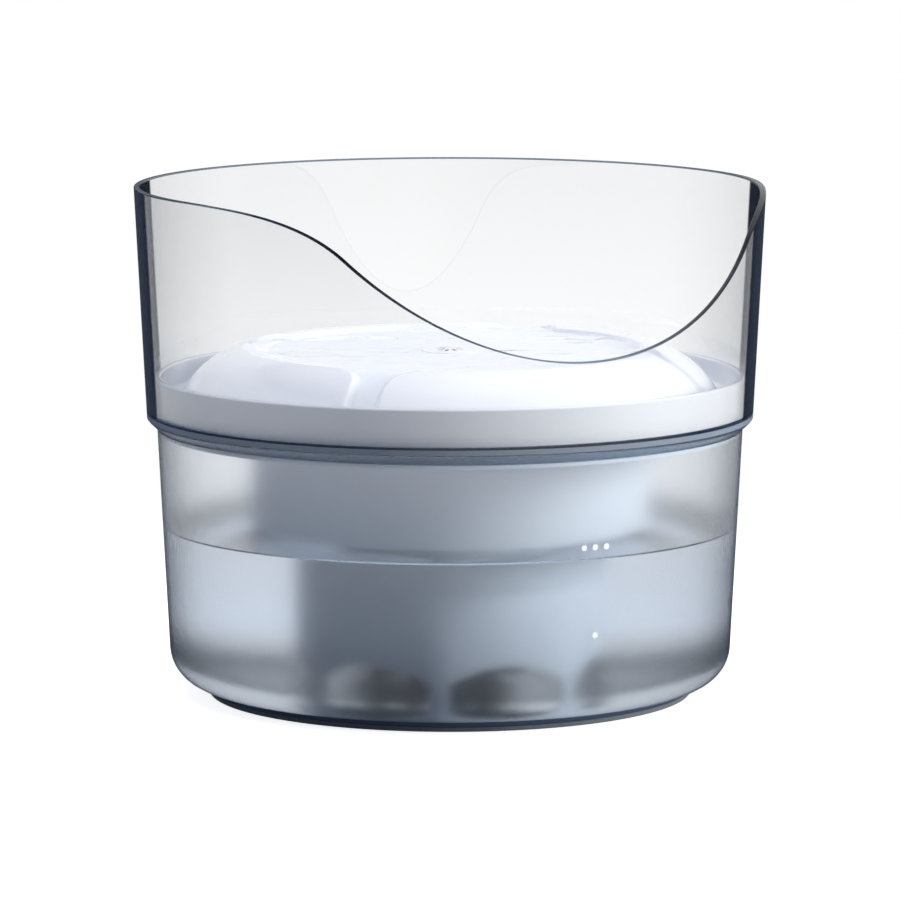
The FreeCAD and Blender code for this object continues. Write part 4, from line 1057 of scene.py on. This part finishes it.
@dataclass
class Dish(Assembly):
    """Glossy dish with a pool, four spill channels and a moat, and the water that runs in it."""

    body: str = "dish"
    seat: float = 151.2
    rim_outer: float = 156.5
    rim_inner: float = 153.5
    rim_height: float = 20.0
    floor: float = 28.3
    basin: float = 98.0
    crest: float = 103.2
    dome_top: float = 109.8
    dome_centre: float = 99.6
    dome_drop: float = 15.15
    dome_arc: float = 50.0
    dome_foot: float = 143.5
    crest_height: float = 33.2
    crest_slope: float = 0.0909
    moat_corner: float = 146.0
    moat_floor: float = 6.3
    wall: float = 3.0
    spill_depth: float = 3.2
    carve_from: float = 90.0
    carve_to: float = 150.0
    outlet: float = 9.0
    socket_inner: float = 10.6
    socket_outer: float = 13.8
    socket_low: float = 12.8
    underside: float = 25.3
    under_foot: float = 142.83
    pool_level: float = 32.0
    moat_level: float = 8.1
    film: float = 1.5
    crowding: float = 0.5
    dry_depth: float = 0.9
    drain_count: int = 12
    drain_radius: float = 1.8
    drain_circle: float = 147.3

    def dome(self, across: Row, arc: float) -> Row:
        """Height of a circle about the dome's centre at this radius."""
        return np.sqrt(np.maximum(arc * arc - (across - self.dome_centre) ** 2, 0.0)) - self.dome_drop

    def half_width(self, along: Row) -> Row:
        """Half the width of a spill channel's floor at this distance from the axis."""
        table = ((98.0, 24.0), (106.5, 20.0), (111.5, 12.5), (117.1, 7.6), (128.1, 5.5), (146.0, 5.5))
        return sum(between(table, along + shift) for shift in (-3.0, -1.5, 0.0, 1.5, 3.0)) / 5

    def channel_floor(self, along: Row) -> Row:
        """Height of a channel's floor."""
        sill = self.dome(self.dome_top, self.dome_arc - self.spill_depth)
        slide = smooth_max(self.dome(along, self.dome_arc - self.spill_depth), self.moat_floor, 2.0)
        return np.where(along < self.dome_top, sill, slide)

    def channel(self, radius: Row, azimuth: Row) -> tuple[Row, Row]:
        """Where points lie in the nearest channel: distance along it and off its middle line."""
        off = (azimuth - math.pi / 4) % (math.pi / 2)
        off = np.where(off > math.pi / 4, off - math.pi / 2, off)
        return radius * np.cos(off), np.abs(radius * np.sin(off))

    def channel_height(self, radius: Row, azimuth: Row) -> Row:
        """Height of the nearest channel's floor and sloping sides."""
        along, off = self.channel(radius, azimuth)
        bottom = self.channel_floor(along)
        return smooth_max(bottom, bottom + (off - self.half_width(along)) * 1.35, 1.6)

    def carved(self, radius: Row, azimuth: Row, height: Row) -> Row:
        """Height of the dish's upper side once the channels are cut."""
        cut = smooth_min(height, self.channel_height(radius, azimuth), 1.5)
        return np.where(self.carves(radius), cut, height)

    def carves(self, radius: Row) -> Row:
        """Whether the channels can reach this radius."""
        return (radius > self.carve_from) & (radius < self.carve_to)

    def upper(self) -> list[tuple[float, float]]:
        """Profile of the upper side from the outlet to the moat's outer corner."""
        floor = [(radius, self.floor) for radius in (9.0, 12.0, 16.0, 24.0, 36.0, 50.0, 64.0, 78.0, 88.0)]
        turned = rounded([
            (80.0, self.floor), (self.basin, self.floor, 6.0), (self.crest, self.crest_height, 1.6),
            (120.0, 34.73),
        ], 7)[1:-1]
        slope = [point for point in turned if point[0] < 104.6]
        crest = [
            (radius, self.crest_height + (radius - self.crest) * self.crest_slope)
            for radius in (105.2, 106.6, 107.8, 108.8)
        ]
        arcs = []
        start, end = (
            math.asin((edge - self.dome_centre) / self.dome_arc) for edge in (self.dome_top, self.dome_foot)
        )
        for step in range(44):
            swing = start + (end - start) * step / 43
            reach, rise = self.dome_arc * math.sin(swing), self.dome_arc * math.cos(swing)
            arcs.append((self.dome_centre + reach, rise - self.dome_drop))
        foot = rounded([
            arcs[-1], (self.dome_foot + 0.6, 8.0, 0.8), (self.moat_corner, self.moat_floor, 1.5),
            (self.rim_inner, self.moat_floor, 2.2), (self.rim_inner, 14.0),
        ], 5)[1:-1]
        return floor + slope + crest + arcs + foot

    def profile(self) -> list[tuple[float, float]]:
        """The dish's whole closed profile."""
        rim = rounded([
            (self.rim_inner, 12.0), (self.rim_inner, self.rim_height, 1.45),
            (self.rim_outer, self.rim_height, 1.45), (self.rim_outer, 0.0, 0.5), (self.rim_inner, 0.0, 0.4),
            (self.rim_inner, self.moat_floor - self.wall, 0.8), (144.0, self.moat_floor - self.wall),
        ], 6)[1:-1]
        under = []
        for step in range(13):
            across = self.under_foot - (self.under_foot - self.dome_top) * step / 12
            under.append((across, float(self.dome(across, self.dome_arc - self.wall))))
        inner = rounded([
            under[-1], (104.7, 30.73, 1.0), (99.5, self.underside, 3.0),
            (self.socket_outer, self.underside, 1.0), (self.socket_outer, self.socket_low, 0.4),
            (self.socket_inner, self.socket_low, 0.4), (self.socket_inner, self.underside, 0.3),
            (self.outlet, self.underside, 0.3),
        ], 3)[1:]
        return self.upper() + rim + under + inner

    def spread(self, spots: Row) -> tuple[Row, Row, Row]:
        """Radius, azimuth and height of vertices, crowded together at the channels.

        Args:
            spots: The vertices in millimetres; their azimuths are changed.

        Returns:
            Their radii, their new azimuths and their heights above the seat.
        """
        radius, turn = np.hypot(spots[:, 0], spots[:, 1]), np.arctan2(spots[:, 0], -spots[:, 1])
        turn = turn - self.crowding / 4 * np.sin(4 * (turn - math.pi / 4))
        spots[:, 0], spots[:, 1] = np.sin(turn) * radius, -np.cos(turn) * radius
        return radius, turn, spots[:, 2] - self.seat

    def shell(self) -> Piece:
        """Spin the dish and carve its channels."""
        piece = lathe("dish_shell", self.profile(), self.seat, 560)
        spots = read_vertices(piece)
        radius, turn, up = self.spread(spots)
        top = up > between(self.upper(), radius) - 1.0
        under = (up > self.moat_floor - self.wall - 0.05) & self.carves(radius)
        sunk = smooth_min(up, self.channel_height(radius, turn) - self.wall, 1.0)
        spots[:, 2] = self.seat + np.where(top, self.carved(radius, turn, up), np.where(under, sunk, up))
        write_vertices(piece, spots)
        return piece

    def drill(self, piece: Piece) -> None:
        """Drill the drains in the moat's floor."""
        deselect()
        tools = []
        for number in range(self.drain_count):
            turn = math.radians(45.0) + math.tau * (number + 0.5) / self.drain_count
            across, along = math.sin(turn) * self.drain_circle, -math.cos(turn) * self.drain_circle
            bpy.ops.mesh.primitive_cylinder_add(
                vertices=20, radius=self.drain_radius * MM, depth=12 * MM,
                location=(across * MM, along * MM, (self.seat + 5.0) * MM),
            )
            tools.append(bpy.context.object)
        deselect()
        for tool in tools:
            tool.select_set(True)
        bpy.context.view_layer.objects.active = tools[0]
        bpy.ops.object.join()
        cut_away(piece, tools[0])

    def water_height(self, radius: Row, azimuth: Row, surface: Row) -> Row:
        """Height of the running water, or of a place just inside the dish where it is dry.

        Args:
            radius: Distances from the axis.
            azimuth: Directions round the axis.
            surface: Heights of the dish there.

        Returns:
            Heights above the dish's seat.
        """
        x, y = radius * np.sin(azimuth), -radius * np.cos(azimuth)
        along, off = self.channel(radius, azimuth)
        half = self.half_width(along)
        dry = surface - self.dry_depth
        rings = np.sin(radius * 0.42 - 0.6) * 0.14 * np.exp(-radius / 42.0)
        well = 0.7 * np.exp(-((radius / 11.0) ** 2))
        pool = self.pool_level + well + rings + 0.22 * swell(x, y, 26.0, 3)
        in_pool = (radius < 108.0) & (along < 106.5) | (radius < 100.0)
        streaks = 0.16 * swell(off * 7.0, along, 15.0, 8)
        stream = self.channel_floor(along) + self.film * (1.0 - 0.12 * (off / half) ** 2) + streaks
        in_stream = ~in_pool & (off < half + 3.4) & (along < self.moat_corner + 1.0)
        level = np.where(in_pool, np.maximum(pool, dry), np.where(in_stream, np.maximum(stream, dry), dry))
        wash = 0.7 * np.exp(-((off / 9.0) ** 2)) + 0.12 * swell(x, y, 9.0, 5)
        moat = np.maximum(smooth_max(level, self.moat_level + wash, 0.5), dry)
        return np.where(radius > 139.0, moat, level)

    def water(self) -> Piece:
        """The pool, the streams down the channels and the water in the moat, as one closed body."""
        over = [3.0 * step for step in range(30)] + [90.0 + 1.1 * step for step in range(57)] + [153.6]
        under = [153.6, 151.0] + [149.0 - 2.4 * step for step in range(22)] + [92.0, 60.0, 0.0]
        profile = [(radius, 30.0) for radius in over] + [(radius, 20.0) for radius in under]
        piece = lathe("running_water", profile, self.seat, 560)
        spots = read_vertices(piece)
        radius, turn, up = self.spread(spots)
        surface = self.carved(radius, turn, between(self.upper(), radius))
        level = np.where(up > 25.0, self.water_height(radius, turn, surface), surface - 1.5)
        spots[:, 2] = self.seat + level
        write_vertices(piece, spots)
        smooth(piece, 60.0)
        return piece

    def build(self) -> None:
        """Make the dish, its water, the outlet cap and the seal."""
        shell = self.shell()
        self.drill(shell)
        smooth(shell)
        self.add(shell, Finish.WHITE_GLOSS, "drinking_dish")
        self.add(self.water(), Finish.POOL_WATER, slot="smoke_guard")
        self.add_refined(Finish.WHITE_GLOSS, 0.3, "outlet_grille")
        self.add_refined(Finish.CLEAR_SILICONE, 0.15, "outlet_seal")


@dataclass
class Filter(Assembly):
    """Filter cartridge: frame, carbon bed, fleece pad and lid."""

    body: str = "cartridge"
    outer: float = 101.0
    inner: float = 16.8

    def soft_ring(self, name: str, low: float, high: float, crown: float, lumps: float) -> Piece:
        """A ring of loose or padded filling with a crowned, uneven surface.

        Args:
            name: The piece's name.
            low: Height of its underside above the table.
            high: Height of its top.
            crown: How much the edges fall away.
            lumps: Height of its unevenness.

        Returns:
            The ring.
        """
        inner, outer = self.inner, self.outer
        across = [inner + (outer - inner) * step / 40 for step in range(41)]
        profile = [(radius, 0.0) for radius in across] + [(radius, 1.0) for radius in reversed(across)]
        piece = lathe(name, profile, 0.0, 200)
        spots = read_vertices(piece)
        radius = np.hypot(spots[:, 0], spots[:, 1])
        fall = crown * np.exp(-np.minimum(radius - inner, outer - radius) / 2.2)
        uneven = lumps * 0.5 * swell(spots[:, 0], spots[:, 1], 9.0, 11)
        spots[:, 2] = np.where(spots[:, 2] > 0.5, high - fall - lumps + uneven, low + fall * 0.4)
        write_vertices(piece, spots)
        smooth(piece, 50.0)
        return piece

    def build(self) -> None:
        """Make the cartridge."""
        self.add_refined(Finish.WHITE_MATTE, 0.35, "cartridge_frame", "cartridge_lid")
        low, high = (corner.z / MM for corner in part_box("carbon_media"))
        self.add(self.soft_ring("carbon_bed", low, high, 0.3, 0.25), Finish.CARBON, "carbon_media")
        low, high = (corner.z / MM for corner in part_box("fleece_pad"))
        fleece = self.soft_ring("fleece_ring", low, high, 1.2, 0.3)
        self.add(fleece, Finish.FLEECE, "fleece_pad")


@dataclass
class Works(Assembly):
    """Everything that stands in the water: column, basket, pump and riser.

    The tops of the column's windows, between two heights in millimetres, are drawn lower than on the solids.
    """

    body: str = "pump"
    window_low: float = 29.5
    window_high: float = 45.0
    window_drop: float = 13.0

    def foam(self) -> Piece:
        """Prefilter foam, a soft block that bulges between its walls."""
        low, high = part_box("prefilter_foam")
        piece = block([part / MM for part in low], [part / MM for part in high], "prefilter_block")
        with editing(piece):
            bpy.ops.mesh.subdivide(number_cuts=11)
        centre, span = (low + high) / 2, (high - low) / 2
        for vertex in piece.data.vertices:
            off = [(part - middle) / reach for part, middle, reach in zip(vertex.co, centre, span)]
            pull = [0.6 * sum(abs(other) ** 6 for other in off[:axis] + off[axis + 1:]) for axis in range(3)]
            vertex.co = [part - math.copysign(min(amount, 1.0) * MM, place) * abs(place) ** 3
                         for part, amount, place in zip(vertex.co, pull, off)]
        apply_modifier(piece, "BEVEL", width=0.8 * MM, segments=3, limit_method="ANGLE",
                       angle_limit=math.radians(50))
        smooth(piece, 60.0)
        return piece

    def lower_half(self) -> Piece:
        """The column's lower half, with the tops of its windows brought down."""
        piece = refined("pump_column", "pump_column_finished", 0.4)
        spots = read_vertices(piece)
        tops = (spots[:, 2] > self.window_low) & (spots[:, 2] < self.window_high)
        spots[tops, 2] -= self.window_drop
        write_vertices(piece, spots)
        return piece

    def build(self) -> None:
        """Make the pieces in their bodies' order."""
        self.add_refined(Finish.BLACK_PLASTIC, 0.4, "volute_cover", "motor_housing", "intake_grille")
        self.add_refined(Finish.BLACK_PLASTIC, 0.15, "coil_bobbin")
        self.add_refined(Finish.BLACK_RUBBER, 0.3, "suction_cup_1", "suction_cup_2", "suction_cup_3",
                         "suction_cup_4", "cord_gland")
        self.add_refined(Finish.BLACK_RUBBER, 0.15, "chamber_seal", "rear_bush", "front_bush")
        self.add_refined(Finish.SHAFT_STEEL, 0.2, "rotor_shaft")
        self.add_refined(Finish.CORE_STEEL, 0.1, "stator_core")
        self.add_refined(Finish.WINDING, 0.4, "coil_winding")
        self.add_refined(Finish.POTTING_RESIN, 0.3, "motor_potting")
        self.add_refined(Finish.WHITE_MATTE, 0.3, "riser_tube")
        foam = self.foam()
        self.add(foam, Finish.BLACK_FOAM, "prefilter_foam")
        rotor, slider = Assembly("rotor"), Assembly("slider")
        rotor.add_refined(Finish.WHITE_GLOSS, 0.25, "impeller")
        rotor.add_refined(Finish.MAGNET, 0.4, "rotor_magnet")
        slider.add_refined(Finish.BLACK_PLASTIC, 0.3, "flow_slider")
        column = Assembly("column")
        column.add_refined(Finish.WHITE_MATTE, 0.4, "column_cap")
        column.add(self.lower_half(), Finish.WHITE_MATTE, "pump_column")
        Assembly("basket").add_refined(Finish.WHITE_MATTE, 0.4, "filter_basket")


# ---------------------------------------------------------------- studio


@dataclass(frozen=True)
class Lamp:
    """One softbox."""

    name: str
    place: Corner
    aim: Corner
    size: Corner
    power: float
    colour: Colour = (1.0, 1.0, 1.0)

    def make(self) -> None:
        """Hang the lamp and point it."""
        deselect()
        bpy.ops.object.light_add(type="AREA", location=self.place)
        lamp = bpy.context.object
        lamp.name = self.name
        lamp.data.shape = "RECTANGLE"
        lamp.data.size, lamp.data.size_y = self.size
        lamp.data.energy = self.power
        lamp.data.color = self.colour
        lamp.visible_glossy = lamp.visible_transmission = False
        lamp.rotation_euler = (Vector(self.aim) - Vector(self.place)).to_track_quat("-Z", "Y").to_euler()


@dataclass(frozen=True)
class Studio:
    """Pale floor, white surround, softboxes and the camera.

    What is mirrored differs from what is seen: a white card ahead of the fountain and a dimmer ceiling, both
    weaker on the left, and dark behind it, which gives the clear walls their dark outlines.
    """

    azimuth: float = -25.5
    distance: float = 3.2358
    camera_height: float = 0.5702
    pitch: float = 7.765
    lens: float = 245.36
    fill: Colour = (0.34, 0.55, 1.0)
    fill_strength: float = 0.16
    white: Colour = (1.0, 1.0, 1.0)
    dark: Colour = (0.035, 0.045, 0.07)
    mirror_strength: float = 1.35
    ceiling: float = 0.7
    left_card: float = 0.12
    paper: Colour = (0.56, 0.53, 0.50)
    paper_glow: Colour = (1.0, 0.975, 0.96)
    paper_strength: float = 0.82
    under_glow: Colour = (0.44, 0.53, 0.64)

    def world(self) -> None:
        """White where it is seen, a soft bluish fill where it lights, and half dark where it is mirrored."""
        world = bpy.data.worlds.new("surround")
        bpy.context.scene.world = world
        recipe = Recipe(world)
        turn = math.radians(self.azimuth)
        ahead = recipe.towards((math.sin(turn), -math.cos(turn), 0.0))
        side = recipe.towards((math.cos(turn), math.sin(turn), 0.0))
        above = recipe.towards((0.0, 0.0, 1.0))
        card = recipe.ramp(ahead, (0.35, 0.0), (0.68, 1.0)).at_least(
            recipe.ramp(above, (0.53, 0.0), (0.625, 1.0)) * self.ceiling
        )
        bright = card * recipe.ramp(side, (0.2, self.left_card), (0.6, 1.0))
        mirrored = recipe.glow(recipe.mix(bright, self.dark, self.white), self.mirror_strength, "Background")
        white = recipe.glow(self.white, 1.0, "Background")
        fill = recipe.glow(self.fill, self.fill_strength, "Background")
        recipe.done(recipe.blend(recipe.seen(), fill, recipe.blend(recipe.mirrored(), white, mirrored)))

    def floor(self) -> None:
        """A wide pale table that keeps the fountain's faint shadow."""
        deselect()
        bpy.ops.mesh.primitive_grid_add(x_subdivisions=8, y_subdivisions=8, size=14.0)
        table = bpy.context.object
        table.name = table.data.name = "table_top"
        table.data.transform(Matrix.Translation((0.0, 0.0, -0.0002)))
        covering = bpy.data.materials.new("table_paper")
        recipe = Recipe(covering)
        grain = recipe.noise(900.0, 2.0)
        paper = recipe.principled(
            Base_Color=self.paper, Roughness=0.8 + grain * 0.05, Normal=recipe.bump(grain, 0.00002)
        )
        away = recipe.node("ShaderNodeVectorMath", {"operation": "LENGTH"}, {0: recipe.place()}, "Value")
        lit = recipe.both(paper, recipe.glow(self.paper_glow, self.paper_strength))
        near = recipe.blend(recipe.ray("Camera"), recipe.both(paper, recipe.glow(self.under_glow)), lit)
        surround = recipe.blend(recipe.ramp(away, (0.3, 0.0), (0.7, 1.0)), near, recipe.glow(self.white))
        dark = recipe.glow(self.dark)
        mirrored = recipe.blend(recipe.ramp(away, (0.4, 0.0), (0.95, 1.0)), dark, recipe.clear())
        recipe.done(recipe.blend(recipe.seen(), paper, recipe.blend(recipe.mirrored(), surround, mirrored)))
        table.data.materials.append(covering)

    def camera(self) -> None:
        """The camera, in the photograph's place."""
        deselect()
        bpy.ops.object.camera_add()
        camera = bpy.context.object
        camera.name = "camera"
        turn = math.radians(self.azimuth)
        camera.location = (
            math.sin(turn) * self.distance, -math.cos(turn) * self.distance, self.camera_height
        )
        camera.rotation_euler = (math.radians(90 - self.pitch), 0.0, turn)
        camera.data.lens = self.lens
        camera.data.sensor_width = 36.0
        bpy.context.scene.camera = camera

    def build(self) -> None:
        """Set up the studio."""
        bpy.context.scene.view_settings.view_transform = "Standard"
        self.camera()
        self.world()
        self.floor()
        for lamp in LAMPS:
            lamp.make()


LAMPS = (
    Lamp("key", (2.1, -1.5, 0.8), (0.0, 0.0, 0.14), (1.2, 1.2), 93.0, (1.0, 0.985, 0.955)),
    Lamp("top", (-0.35, 0.15, 2.2), (0.0, 0.0, 0.15), (1.2, 1.2), 50.0, (0.95, 0.955, 1.0)),
)


def main() -> None:
    """Build the studio and every sub-assembly in order."""
    logging.basicConfig(level=logging.INFO, format="%(name)s: %(message)s")
    Studio().build()
    for assembly in (Foot(), Tank(), SplashGuard(), Dish(), Filter(), Works()):
        assembly.build()


if __name__ == "__main__":
    main()
